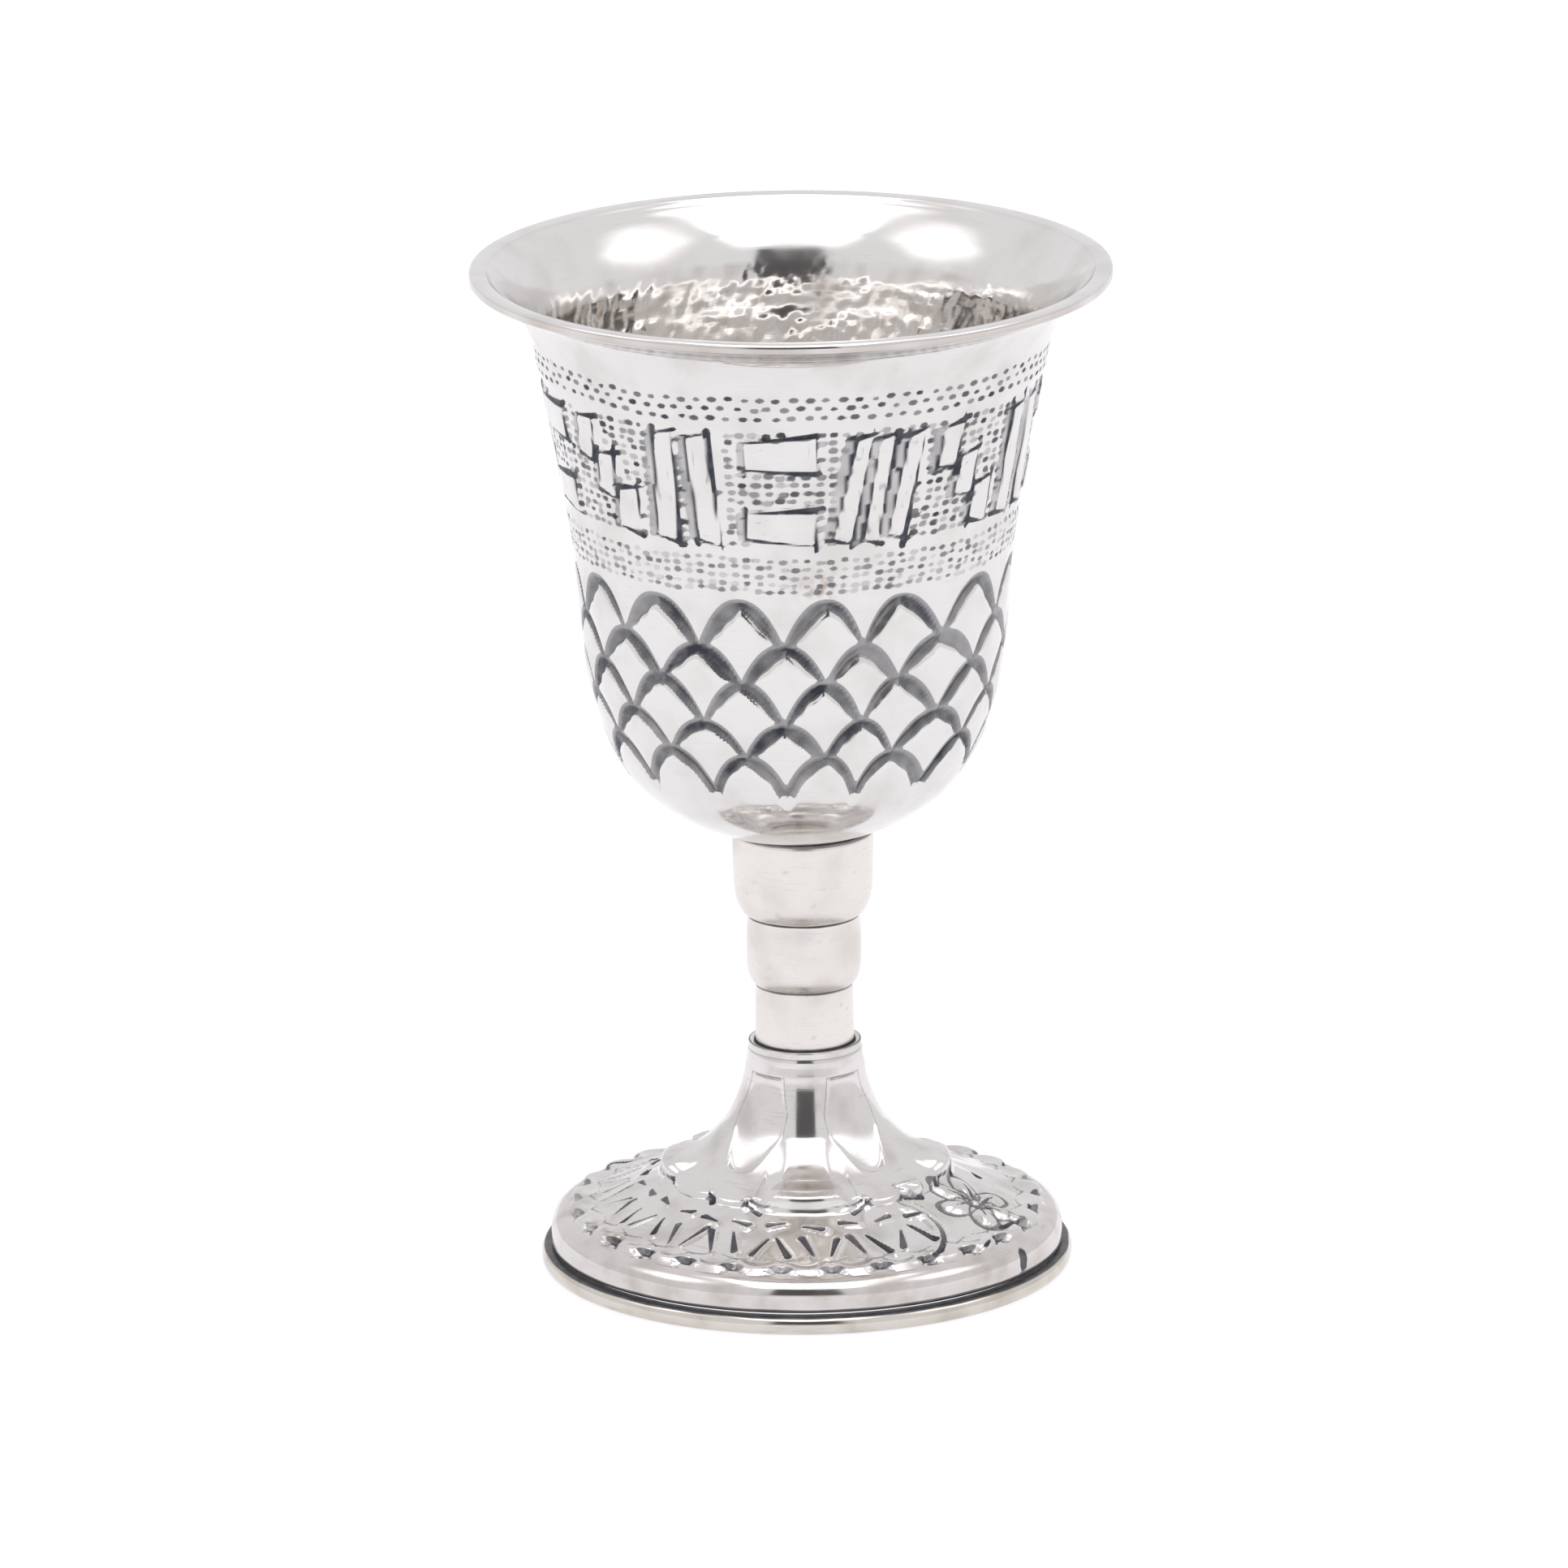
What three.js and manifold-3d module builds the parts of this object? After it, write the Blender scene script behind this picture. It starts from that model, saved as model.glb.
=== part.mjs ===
// Kiddush cup in sheet silver: a chased bowl on a stepped stem, a stamped foot and a wire base ring.
// Millimetres, +Z up. The origin is the centre of the ring's underside, and the front faces -Y.
// Angles run from the front towards +X, so that 0 is the front and 90 degrees is the right side.

import * as THREE from 'three';
import { mergeVertices } from 'three/addons/utils/BufferGeometryUtils.js';
import Module from 'manifold-3d';

const wasm = await Module();
wasm.setup();

// ---- Driving dimensions -------------------------------------------------------------------

const WALL = 0.7;
const SOLDER_GAP = 0.3;
const LIP_HEIGHT = 122.3;
const BOWL_OFFSET_X = -0.75;

// Outlines are [radius, height] knots from the bottom up, joined by one smooth curve.
const BOWL_KNOTS = [
  [0, 52.9], [8.25, 53.6], [13.2, 55.6], [18, 59], [21.1, 62.8], [23.8, 70.3],
  [25, 76.8], [25.9, 87.2], [28, 99.2], [30, 110.2], [31.1, 115.2], [33.6, 119.2], [37.3, 120.9],
];
const LIP = { radius: 38, rollBottom: 121.3, rollTop: 121.9, flatOuter: 37.3, flatInner: 35.8 };
const FLARE = { start: 115.2, middle: 118.8 };
const FOOT_KNOTS = [
  [6.95, 24.8], [7.5, 21.9], [8.1, 19.9], [10.1, 16.4], [12.6, 13.5], [16.2, 11.3],
  [20.6, 9.2], [25.3, 7.4], [28.2, 6.4],
];
const FOOT_WALL = { radius: 30.6, shoulder: 5.7, bottom: 2.5 };
const COLLAR = { radius: 6.75, top: 27.4, neck: 6.85, bottom: 26.7, bore: 4.9, seatHeight: 25.9 };
const STEM = { bottom: 26.2, top: 53.27, lowRadius: 5.87, midRadius: 6.85, topRadius: 8.45 };
const STEM_SEAMS = { low: 34.4, mid: 43 };
const RING = { outer: 31.8, inner: 29.6, height: 2.2, round: 0.6, flatInner: 29.9, flatOuter: 30.9 };

// Five staggered rows of scales: the heights of their apexes, then the height of the last tips.
const SCALE_COUNT = 15;
const SCALE_ROWS = [88.4, 82.9, 78.4, 73.3, 69, 64.7];
const SCALE_FIRST_APEX = -15.2;
const SCALE_ARCH_POWER = 2;
const SCALE_GROOVE = 0.42;
const SCALE_PILLOW = 0.15;

// The inscription band is a sunk ground with raised strokes that stand level with the wall.
const BAND = { bottom: 94.3, top: 110, ramp: 0.4, depth: 0.3 };
const CELL_COUNT = 15;
const CELL_FIRST = -2.9;

const NECK = { fluteCount: 4, fluteTop: 24.7, fluteBottom: 13.9, fluteDepth: 0.6, fluteHalfAngle: 24 };
const NECK_RINGS = [13.5, 15.2, 17.4, 20.4, 24];
const LOBES = { count: 8, radius: 16.2, reach: 1, step: 0.35 };
const CARTOUCHE = { from: -132, to: 44.5, inner: 18, outer: 27, rise: 0.35 };
const SCALLOPS = { count: 20, reach: 0.5 };
const FLOWER_ANGLES = [68.5, 195];
const FLOWER = { radius: 21.6, petals: 6, petalLength: 4.2, petalWidth: 2.6, rise: 0.45 };

const BOWL_SEGMENTS = 60;
const CAVITY_SEGMENTS = 28;
const FOOT_SEGMENTS = 40;
const UNDERSIDE_SEGMENTS = 24;
const STEM_SEGMENTS = 24;

const SILVER = { color: 0xd8d4cf, metalness: 1, roughness: 0.22 };

// ---- Geometry helpers ---------------------------------------------------------------------

const radians = THREE.MathUtils.degToRad;
const smooth = THREE.MathUtils.smoothstep;

/** One smooth curve through [radius, height] knots. */
function outline(knots) {
  const points = knots.map(([radius, height]) => new THREE.Vector3(radius, height, 0));
  return new THREE.CatmullRomCurve3(points, false, 'centripetal');
}

/** The point of an outline at a height, found by halving; its height rises or falls all along. */
function pointAtHeight(curve, height) {
  const rises = curve.getPoint(1).y > curve.getPoint(0).y;
  let low = 0;
  let high = 1;
  for (let step = 0; step < 40; step += 1) {
    const middle = (low + high) / 2;
    const below = curve.getPoint(middle).y < height;
    if (below === rises) {
      low = middle;
    } else {
      high = middle;
    }
  }
  const point = curve.getPoint((low + high) / 2);
  return [point.x, height];
}

/** The signed angle from one angle to another in degrees, between -180 and 180. */
function turnBetween(from, to) {
  return THREE.MathUtils.euclideanModulo(to - from + 180, 360) - 180;
}

/** Moves an outline sideways by a distance, to the left of its direction of travel. */
function offset(points, distance) {
  return points.map(([radius, height], index) => {
    const [r0, z0] = points[Math.max(index - 1, 0)];
    const [r1, z1] = points[Math.min(index + 1, points.length - 1)];
    const length = Math.hypot(r1 - r0, z1 - z0);
    const inward = radius === 0 ? 0 : (z1 - z0) / length;
    const upward = radius === 0 ? 1 : (r1 - r0) / length;
    return [radius - inward * distance, height + upward * distance];
  });
}

/** Merges a geometry's shared vertices and drops the triangles that collapse on the axis. */
function closedMesh(geometry) {
  const bare = geometry.index ? geometry.clone() : mergeVertices(geometry);
  bare.deleteAttribute('normal');
  bare.deleteAttribute('uv');
  const merged = mergeVertices(bare);
  const corners = merged.index.array;
  const kept = [];
  for (let index = 0; index < corners.length; index += 3) {
    const [a, b, c] = corners.slice(index, index + 3);
    if (a !== b && b !== c && c !== a) {
      kept.push(a, b, c);
    }
  }
  merged.setIndex(kept);
  return merged;
}

/** A manifold solid from a closed geometry. */
function solidOf(geometry) {
  const mesh = closedMesh(geometry);
  return new wasm.Manifold(new wasm.Mesh({
    numProp: 3,
    vertProperties: new Float32Array(mesh.attributes.position.array),
    triVerts: new Uint32Array(mesh.index.array),
  }));
}

/** A three.js geometry from a manifold solid. */
function geometryOf(solid) {
  const mesh = solid.getMesh();
  const geometry = new THREE.BufferGeometry();
  geometry.setAttribute('position', new THREE.BufferAttribute(new Float32Array(mesh.vertProperties), 3));
  geometry.setIndex(new THREE.BufferAttribute(new Uint32Array(mesh.triVerts), 1));
  return geometry;
}

/**
 * A turned solid whose rings may carry relief. The points run up the outside; relief(angle, radius,
 * height) returns the vertex's own [radius, height]. Each quad is split along its deeper diagonal, so
 * that a groove runs unbroken from ring to ring.
 */
function turned(points, segments, relief = (angle, radius, height) => [radius, height]) {
  const lathe = new THREE.LatheGeometry(points.map(([r, z]) => new THREE.Vector2(r, z)), segments);
  const position = lathe.attributes.position;
  const rings = points.length;
  const sunk = new Float32Array(position.count);
  for (let vertex = 0; vertex < position.count; vertex += 1) {
    const column = Math.floor(vertex / rings) % segments;
    const [radius, height] = points[vertex % rings];
    const angle = (360 * column) / segments;
    const [newRadius, newHeight] = radius === 0 ? [0, height] : relief(angle, radius, height);
    sunk[vertex] = radius - newRadius;
    const x = newRadius * Math.sin(radians(angle));
    const y = -newRadius * Math.cos(radians(angle));
    position.setXYZ(vertex, x, y, newHeight);
  }
  const corners = [];
  for (let column = 0; column < segments; column += 1) {
    for (let ring = 0; ring < rings - 1; ring += 1) {
      const a = column * rings + ring;
      const b = a + rings;
      if (sunk[a] + sunk[b + 1] > sunk[b] + sunk[a + 1]) {
        corners.push(a, b, b + 1, a, b + 1, a + 1);
      } else {
        corners.push(a, b, a + 1, b, b + 1, a + 1);
      }
    }
  }
  lathe.setIndex(corners);
  return lathe;
}

/** The frame on a turned surface: x runs round it, y up it and z straight out of it. */
function surfaceFrame(angle, [radius, height], slope) {
  const around = new THREE.Vector3(Math.cos(radians(angle)), Math.sin(radians(angle)), 0);
  const outward = new THREE.Vector3(Math.sin(radians(angle)), -Math.cos(radians(angle)), 0);
  const up = outward.clone().multiplyScalar(Math.sin(slope)).add(new THREE.Vector3(0, 0, Math.cos(slope)));
  const normal = around.clone().cross(up);
  const frame = new THREE.Matrix4().makeBasis(around, up, normal);
  return frame.setPosition(outward.multiplyScalar(radius).setZ(height));
}

/** The lean of an outline from upright at a height, in radians. */
function slopeAt(curve, height) {
  const step = 0.4;
  const [below] = pointAtHeight(curve, height - step);
  const [above] = pointAtHeight(curve, height + step);
  return Math.atan2(above - below, 2 * step);
}

/** A stroke with chisel-cut ends: a four-sided outline that leans sideways, extruded through the wall. */
function strokeBlock({ width, height, lean, cut, from, to }) {
  const half = width / 2;
  const shape = new THREE.Shape([
    new THREE.Vector2(-half - lean, -height / 2 + cut),
    new THREE.Vector2(half - lean, -height / 2 - cut),
    new THREE.Vector2(half + lean, height / 2 + cut),
    new THREE.Vector2(-half + lean, height / 2 - cut),
  ]);
  const block = new THREE.ExtrudeGeometry(shape, { depth: to - from, bevelEnabled: false });
  return block.translate(0, 0, from);
}

// ---- Bowl ---------------------------------------------------------------------------------

/** How far below a row's apex its arch has dropped, at a share of half a scale from the apex. */
function archDrop(row, share) {
  return (SCALE_ROWS[row] - SCALE_ROWS[row + 1]) * share ** SCALE_ARCH_POWER;
}

/** Relief of the scales in mm: pillows between grooves that follow staggered arches. */
function scaleRelief(angle, height) {
  const pitch = 360 / SCALE_COUNT;
  if (height > SCALE_ROWS[0] + 1 || height < SCALE_ROWS.at(-1) - 1) {
    return 0;
  }
  let nearest = Infinity;
  for (let row = 0; row < SCALE_ROWS.length - 1; row += 1) {
    const apex = SCALE_FIRST_APEX + (row % 2) * (pitch / 2);
    const turns = turnBetween(apex, angle) / pitch;
    const share = 2 * Math.abs(turns - Math.round(turns));
    const gap = Math.abs(height - SCALE_ROWS[row] + archDrop(row, share));
    nearest = Math.min(nearest, gap);
  }
  return SCALE_PILLOW - (SCALE_PILLOW + SCALE_GROOVE) * (1 - smooth(nearest, 0.2, 1.6));
}

/** Depth of the sunk inscription ground in mm. */
function bandSink(height) {
  const up = smooth(height, BAND.bottom, BAND.bottom + BAND.ramp);
  const down = smooth(height, BAND.top - BAND.ramp, BAND.top);
  return BAND.depth * up * (1 - down);
}

/** Stroke groups, none of them a letter: each stroke is [across, up, width, height, lean] in mm. */
const STROKE_GROUPS = {
  pair: [[-2.5, 0, 3.1, 13.6, 0.2], [2.5, 0, 3.1, 13.6, -0.2]],
  bars: [[0, 4.5, 8.4, 4, 0], [0, -4.5, 8.4, 4, 0]],
  slants: [[-3.4, 0, 2.3, 13, 1], [0, 0, 2.3, 13, 1], [3.4, 0, 2.3, 13, 1]],
  steps: [[-2.9, 3.9, 3.1, 5.4, 0.3], [0.3, 0, 3.1, 5.4, 0.3], [3.4, -3.9, 3.1, 5.4, 0.3]],
};
const STROKE_ORDER = ['bars', 'slants', 'steps', 'pair', 'bars', 'pair', 'slants', 'steps', 'bars', 'pair',
  'steps', 'slants', 'bars', 'steps', 'pair'];

/** The strokes of the inscription band, each set on the wall at its own place. */
function bandStrokes(curve) {
  const middle = (BAND.bottom + BAND.top) / 2;
  const strokes = [];
  STROKE_ORDER.forEach((name, cell) => {
    STROKE_GROUPS[name].forEach(([across, up, width, height, lean]) => {
      const place = pointAtHeight(curve, middle + up);
      const angle = CELL_FIRST + (360 / CELL_COUNT) * cell + THREE.MathUtils.radToDeg(across / place[0]);
      const block = strokeBlock({ width, height, lean, cut: 0.3, from: -0.45, to: -0.02 });
      strokes.push(block.applyMatrix4(surfaceFrame(angle, place, slopeAt(curve, place[1]))));
    });
  });
  return strokes;
}

/** The bowl: a chased outside, less a smooth cavity one wall thickness inside it. */
function bowlGeometry() {
  const curve = outline(BOWL_KNOTS);
  const heights = [57.2, 60.7, SCALE_ROWS.at(-1)];
  for (let row = SCALE_ROWS.length - 2; row >= 0; row -= 1) {
    heights.push(SCALE_ROWS[row] - archDrop(row, 0.5), SCALE_ROWS[row]);
  }
  heights.push(SCALE_ROWS[0] + 1.8, BAND.bottom, BAND.bottom + BAND.ramp, BAND.top - BAND.ramp, BAND.top);
  heights.push(FLARE.start, FLARE.middle);
  const outside = [
    ...BOWL_KNOTS.slice(0, 3),
    ...heights.map((height) => pointAtHeight(curve, height)),
    BOWL_KNOTS.at(-1),
    [LIP.radius, LIP.rollBottom],
    [LIP.radius, LIP.rollTop],
    [LIP.flatOuter, LIP_HEIGHT],
    [0, LIP_HEIGHT],
  ];
  const body = solidOf(turned(outside, BOWL_SEGMENTS, (angle, radius, height) => {
    const chased = radius > 12 && height < LIP_HEIGHT - 4;
    const out = chased ? scaleRelief(angle, height) - bandSink(height) : 0;
    return [radius + out, height];
  }));
  const shell = offset(BOWL_KNOTS, WALL);
  const inside = shell.filter(([radius, height]) => height < LIP_HEIGHT - 1.6);
  const above = LIP_HEIGHT + 1;
  const cavity = [...inside, [LIP.flatInner, LIP_HEIGHT], [LIP.flatInner, above], [0, above]];
  const strokes = bandStrokes(curve).map(solidOf);
  const chased = strokes.reduce((whole, stroke) => whole.add(stroke), body);
  return geometryOf(chased.subtract(solidOf(turned(cavity, CAVITY_SEGMENTS))));
}

// ---- Stem ---------------------------------------------------------------------------------

/** The stem: a spun tube in three steps, each rounded in at its lower end, with one wall all along. */
function stemGeometry() {
  const { bottom, top, lowRadius, midRadius, topRadius } = STEM;
  const { low: lowSeam, mid: midSeam } = STEM_SEAMS;
  const outside = [
    [lowRadius, bottom],
    [lowRadius, lowSeam],
    [midRadius - 0.3, lowSeam + 1.1],
    [midRadius, lowSeam + 3],
    [midRadius, midSeam - 3],
    [midRadius - 0.2, midSeam],
    [topRadius - 0.75, midSeam + 1.4],
    [topRadius - 0.3, midSeam + 3.4],
    [topRadius, top - 0.3],
    [topRadius - 0.3, top],
  ];
  const inside = [
    [topRadius - WALL, top],
    [topRadius - WALL, midSeam + 4],
    [midRadius - WALL, midSeam],
    [midRadius - WALL, lowSeam + 3],
    [lowRadius - WALL, lowSeam],
    [lowRadius - WALL, bottom],
  ];
  return closedMesh(turned([...outside, ...inside, outside[0]], STEM_SEGMENTS));
}

// ---- Foot ---------------------------------------------------------------------------------

/** How far the flutes of the neck are pressed in, in mm: tongues with flat tops and round ends. */
function fluteSink(angle, height) {
  const { fluteCount, fluteTop, fluteBottom, fluteDepth, fluteHalfAngle } = NECK;
  const pitch = 360 / fluteCount;
  const off = Math.abs(turnBetween(pitch / 2, angle % pitch)) / fluteHalfAngle;
  const along = (height - fluteBottom) / (fluteTop - fluteBottom);
  if (along <= 0 || along >= 1) {
    return 0;
  }
  const reach = Math.min(1, Math.sqrt(along * 2.4));
  return fluteDepth * Math.max(0, 1 - (off / reach) ** 2);
}

/** How far a lobe's tip reaches beyond the lobed edge of the neck, in mm. */
function lobeReach(angle) {
  return LOBES.reach * Math.abs(Math.cos(radians((angle * LOBES.count) / 2)));
}

/** How far the lower edge of the inscription panel swings in and out, in mm. */
function scallopReach(angle) {
  return SCALLOPS.reach * Math.cos(radians(angle * SCALLOPS.count));
}

/** Whether an angle lies on the raised inscription panel of the foot. */
function onCartouche(angle) {
  const middle = (CARTOUCHE.from + CARTOUCHE.to) / 2;
  return Math.abs(turnBetween(middle, angle)) <= (CARTOUCHE.to - CARTOUCHE.from) / 2;
}

/** The strokes pressed into the foot's inscription panel: two rows that aren't letters. */
function footStrokes(curve) {
  const strokes = [];
  const count = 12;
  for (let place = 0; place < count; place += 1) {
    const angle = CARTOUCHE.from + ((CARTOUCHE.to - CARTOUCHE.from) * (place + 0.5)) / count;
    const tall = place % 3 !== 1;
    [19.6, 23.1].forEach((radius, row) => {
      const height = heightAtRadius(curve, radius);
      const lean = row === 0 ? 0.35 : -0.35;
      const size = { width: 0.8, height: tall ? 2.4 : 1.7 };
      const block = strokeBlock({ ...size, lean, cut: 0.15, from: 0.02, to: 1 });
      const frame = surfaceFrame(angle + row * 3, [radius, height], slopeAt(curve, height));
      strokes.push(block.applyMatrix4(frame));
    });
  }
  return strokes;
}

/** The height of a falling outline at a radius. */
function heightAtRadius(curve, radius) {
  let low = 0;
  let high = 1;
  for (let step = 0; step < 40; step += 1) {
    const middle = (low + high) / 2;
    if (curve.getPoint(middle).x < radius) {
      low = middle;
    } else {
      high = middle;
    }
  }
  return curve.getPoint(low).y;
}

/** A flower of raised petals round a button, each petal a six-sided oval. */
function flower(curve, angle) {
  const { radius, petals, petalLength, petalWidth, rise } = FLOWER;
  const height = heightAtRadius(curve, radius);
  const frame = surfaceFrame(angle, [radius, height], slopeAt(curve, height));
  const pieces = [];
  for (let petal = 0; petal <= petals; petal += 1) {
    const button = petal === petals;
    const block = new THREE.CylinderGeometry(0.7, 1, rise + 0.3, 6);
    block.rotateX(Math.PI / 2);
    block.scale(button ? 0.8 : petalLength / 2, button ? 0.8 : petalWidth / 2, 1);
    block.translate(button ? 0 : petalLength * 0.62, 0, (rise - 0.3) / 2 + (button ? 0.1 : 0));
    block.rotateZ((2 * Math.PI * petal) / petals);
    pieces.push(block.applyMatrix4(frame));
  }
  return pieces;
}

/** The foot: a stamped dome with a fluted neck, hollow underneath, with a seat for the stem. */
function footGeometry() {
  const curve = outline(FOOT_KNOTS);
  const lobeRing = heightAtRadius(curve, LOBES.radius);
  const at = (height) => pointAtHeight(curve, height);
  const underLobes = heightAtRadius(curve, LOBES.radius + 0.4);
  const panel = [CARTOUCHE.inner, CARTOUCHE.inner + 0.5, CARTOUCHE.outer - 0.5, CARTOUCHE.outer];
  const surface = [
    [0, FOOT_WALL.bottom],
    [FOOT_WALL.radius, FOOT_WALL.bottom],
    [FOOT_WALL.radius, FOOT_WALL.shoulder - 0.9],
    [FOOT_WALL.radius - 0.5, FOOT_WALL.shoulder],
    FOOT_KNOTS.at(-1),
    ...panel.reverse().map((radius) => [radius, heightAtRadius(curve, radius)]),
    [LOBES.radius + 0.4, underLobes],
    [LOBES.radius, lobeRing],
    ...NECK_RINGS.map(at),
    FOOT_KNOTS[0],
    [COLLAR.neck, COLLAR.bottom],
    [COLLAR.radius, COLLAR.top - 0.2],
    [COLLAR.radius - 0.15, COLLAR.top],
    [0, COLLAR.top],
  ];
  const body = solidOf(turned(surface, FOOT_SEGMENTS, (angle, radius, height) => {
    if (Math.abs(radius - LOBES.radius) < 0.5) {
      const reach = lobeReach(angle);
      const raised = radius === LOBES.radius ? LOBES.step * 0.6 : 0;
      const lobeRadius = radius + reach;
      return [lobeRadius, heightAtRadius(curve, lobeRadius) + raised];
    }
    if (radius > CARTOUCHE.inner - 0.1 && radius < CARTOUCHE.outer + 0.1 && onCartouche(angle)) {
      const edge = radius > (CARTOUCHE.inner + CARTOUCHE.outer) / 2 ? scallopReach(angle) : 0;
      const raised = radius === CARTOUCHE.inner || radius === CARTOUCHE.outer ? 0 : CARTOUCHE.rise;
      return [radius + edge, heightAtRadius(curve, radius + edge) + raised];
    }
    return [radius - fluteSink(angle, height), height];
  }));
  const petals = FLOWER_ANGLES.flatMap((angle) => flower(curve, angle)).map(solidOf);
  const dressed = petals.reduce((whole, petal) => whole.add(petal), body);
  const carved = footStrokes(curve).map(solidOf).reduce((whole, stroke) => whole.subtract(stroke), dressed);
  const floor = FOOT_WALL.bottom - 1;
  const under = offset([[FOOT_WALL.radius, floor], [FOOT_WALL.radius, FOOT_WALL.shoulder - 0.4],
    ...FOOT_KNOTS.slice(4).reverse(), ...NECK_RINGS.slice(2).map(at)], WALL);
  under[0][1] = floor;
  const stemSeat = STEM.lowRadius + SOLDER_GAP;
  const above = COLLAR.top + 1;
  const hollow = [[0, floor], ...under, [COLLAR.bore, under.at(-1)[1] + 0.6],
    [COLLAR.bore, COLLAR.seatHeight], [stemSeat, COLLAR.seatHeight], [stemSeat, above], [0, above]];
  return geometryOf(carved.subtract(solidOf(turned(hollow, UNDERSIDE_SEGMENTS))));
}

// ---- Base ring ----------------------------------------------------------------------------

/** The base ring: a half-round wire with a flat underside. */
function ringGeometry() {
  const { outer, inner, height, round, flatInner, flatOuter } = RING;
  const section = [[flatInner, 0], [flatOuter, 0], [outer, round], [outer, height - round],
    [flatOuter, height], [flatInner, height], [inner, height / 2], [flatInner, 0]];
  return closedMesh(turned(section, FOOT_SEGMENTS));
}

// ---- Scene graph --------------------------------------------------------------------------

/** One named piece with its own silver material. */
function piece(name, geometry, look = {}) {
  const mesh = new THREE.Mesh(geometry, new THREE.MeshStandardMaterial({ ...SILVER, ...look }));
  mesh.name = name;
  mesh.geometry.computeVertexNormals();
  return mesh;
}

const cup = new THREE.Group();
cup.name = 'kiddush_cup';

const bowl = piece('bowl', bowlGeometry());
bowl.position.x = BOWL_OFFSET_X;
cup.add(bowl);
cup.add(piece('stem', stemGeometry(), { roughness: 0.3 }));
cup.add(piece('foot', footGeometry()));
cup.add(piece('base_ring', ringGeometry(), { roughness: 0.2 }));

export default cup;
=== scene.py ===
"""A kiddush cup in sheet silver: the chased bowl, spun stem, stamped foot and wire base ring.

Sizes in the classes are in millimetres, and MM turns them into metres when a mesh is made. Angles are in
degrees round the cup's axis, from the front (-Y) towards +X. A turned surface is a grid of rows along its
outline and columns round its axis, and its chasing moves each point along the outline's own normal.
"""

import logging
import math
from collections.abc import Callable, Sequence
from dataclasses import dataclass, field, replace
from enum import Enum

import bpy
import numpy as np
from mathutils import Matrix, Vector


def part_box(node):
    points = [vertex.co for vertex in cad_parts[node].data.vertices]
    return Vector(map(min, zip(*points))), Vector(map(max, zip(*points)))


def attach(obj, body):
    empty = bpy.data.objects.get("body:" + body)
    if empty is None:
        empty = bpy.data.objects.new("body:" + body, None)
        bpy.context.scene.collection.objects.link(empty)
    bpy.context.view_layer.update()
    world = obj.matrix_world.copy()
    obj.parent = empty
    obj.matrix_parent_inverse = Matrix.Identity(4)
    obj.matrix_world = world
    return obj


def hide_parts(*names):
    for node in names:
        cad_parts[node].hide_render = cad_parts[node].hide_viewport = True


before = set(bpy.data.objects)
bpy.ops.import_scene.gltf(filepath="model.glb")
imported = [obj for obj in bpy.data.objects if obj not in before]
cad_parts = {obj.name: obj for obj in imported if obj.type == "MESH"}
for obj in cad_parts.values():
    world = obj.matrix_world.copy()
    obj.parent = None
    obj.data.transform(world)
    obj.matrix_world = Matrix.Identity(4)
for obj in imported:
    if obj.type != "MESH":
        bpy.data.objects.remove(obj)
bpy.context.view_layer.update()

MM = 0.001
# Point attributes: each mark's edge and tone, which carry both sulphide patina and painted shade, and brown
# tarnish.
EDGE, TONE, STAIN = "patina_and_shade_edge", "patina_and_shade_tone", "tarnish"
log = logging.getLogger("kiddush_cup")

Grid = np.ndarray
Number = np.ndarray | float
Pair = tuple[float, float]
Place = tuple[float, float, float]
Socket = bpy.types.NodeSocket


# ---- Numbers and curves ---------------------------------------------------------------------


def smooth(value: Grid, low: float, high: float) -> Grid:
    """Eases from 0 at low to 1 at high, which may be the lower: 3t^2 - 2t^3 of the share t of the way."""
    share = np.clip((value - low) / (high - low), 0.0, 1.0)
    return share * share * (3.0 - 2.0 * share)


def turn(start: Number, end: Number) -> Grid:
    """The signed turn in degrees from start to end, between -180 and 180."""
    return (np.asarray(end) - start + 180.0) % 360.0 - 180.0


def ripple(angle: Grid, height: Number, seed: int, waves: float, length: float) -> Grid:
    """Uneven hand work: the mean of twelve sine waves of random direction, whole round the axis.

    Args:
        angle: Degrees round the axis.
        height: Millimetres along the axis, or out from it.
        seed: Picks the waves.
        waves: The most waves that fit round the axis.
        length: The shortest wave along the height, in millimetres.

    Returns:
        Numbers mostly between -1 and 1.
    """
    random = np.random.default_rng(seed)
    total = 0.0
    for _ in range(12):
        round_axis = random.integers(1, int(waves) + 1) * random.choice([-1, 1])
        along = random.uniform(-1.0, 1.0) * 2.0 * math.pi / length
        phase = random.uniform(0.0, 2.0 * math.pi)
        total = total + np.sin(np.radians(angle) * round_axis + height * along + phase)
    return total / math.sqrt(12.0)


def wedge(x: Grid, y: Grid, start: Pair, end: Pair, wide: float, narrow: float) -> Grid:
    """A chisel cut's half width less the distance from its line: positive in the cut, negative outside.

    Args:
        x: Millimetres across.
        y: Millimetres up.
        start: The cut's first end.
        end: Its other end.
        wide: Half its width at the start.
        narrow: Half its width at the end.

    Returns:
        Millimetres inside the cut's edge.
    """
    run = np.array(end) - np.array(start)
    length = float(np.hypot(*run))
    along = ((x - start[0]) * run[0] + (y - start[1]) * run[1]) / length**2
    across = ((x - start[0]) * run[1] - (y - start[1]) * run[0]) / length
    beyond = np.maximum(np.maximum(-along, along - 1.0), 0.0) * length
    half = wide + (narrow - wide) * np.clip(along, 0.0, 1.0)
    return half - np.hypot(across, beyond)


def oval(x: Grid, y: Grid, half_width: float, half_height: float, power: float = 2.0) -> Grid:
    """About how far inside an oval's edge a point is, in mm; a power above 2 squares its corners."""
    reach = (np.abs(x / half_width) ** power + np.abs(y / half_height) ** power) ** (1.0 / power)
    return (1.0 - reach) * np.minimum(half_width, half_height)


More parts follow.
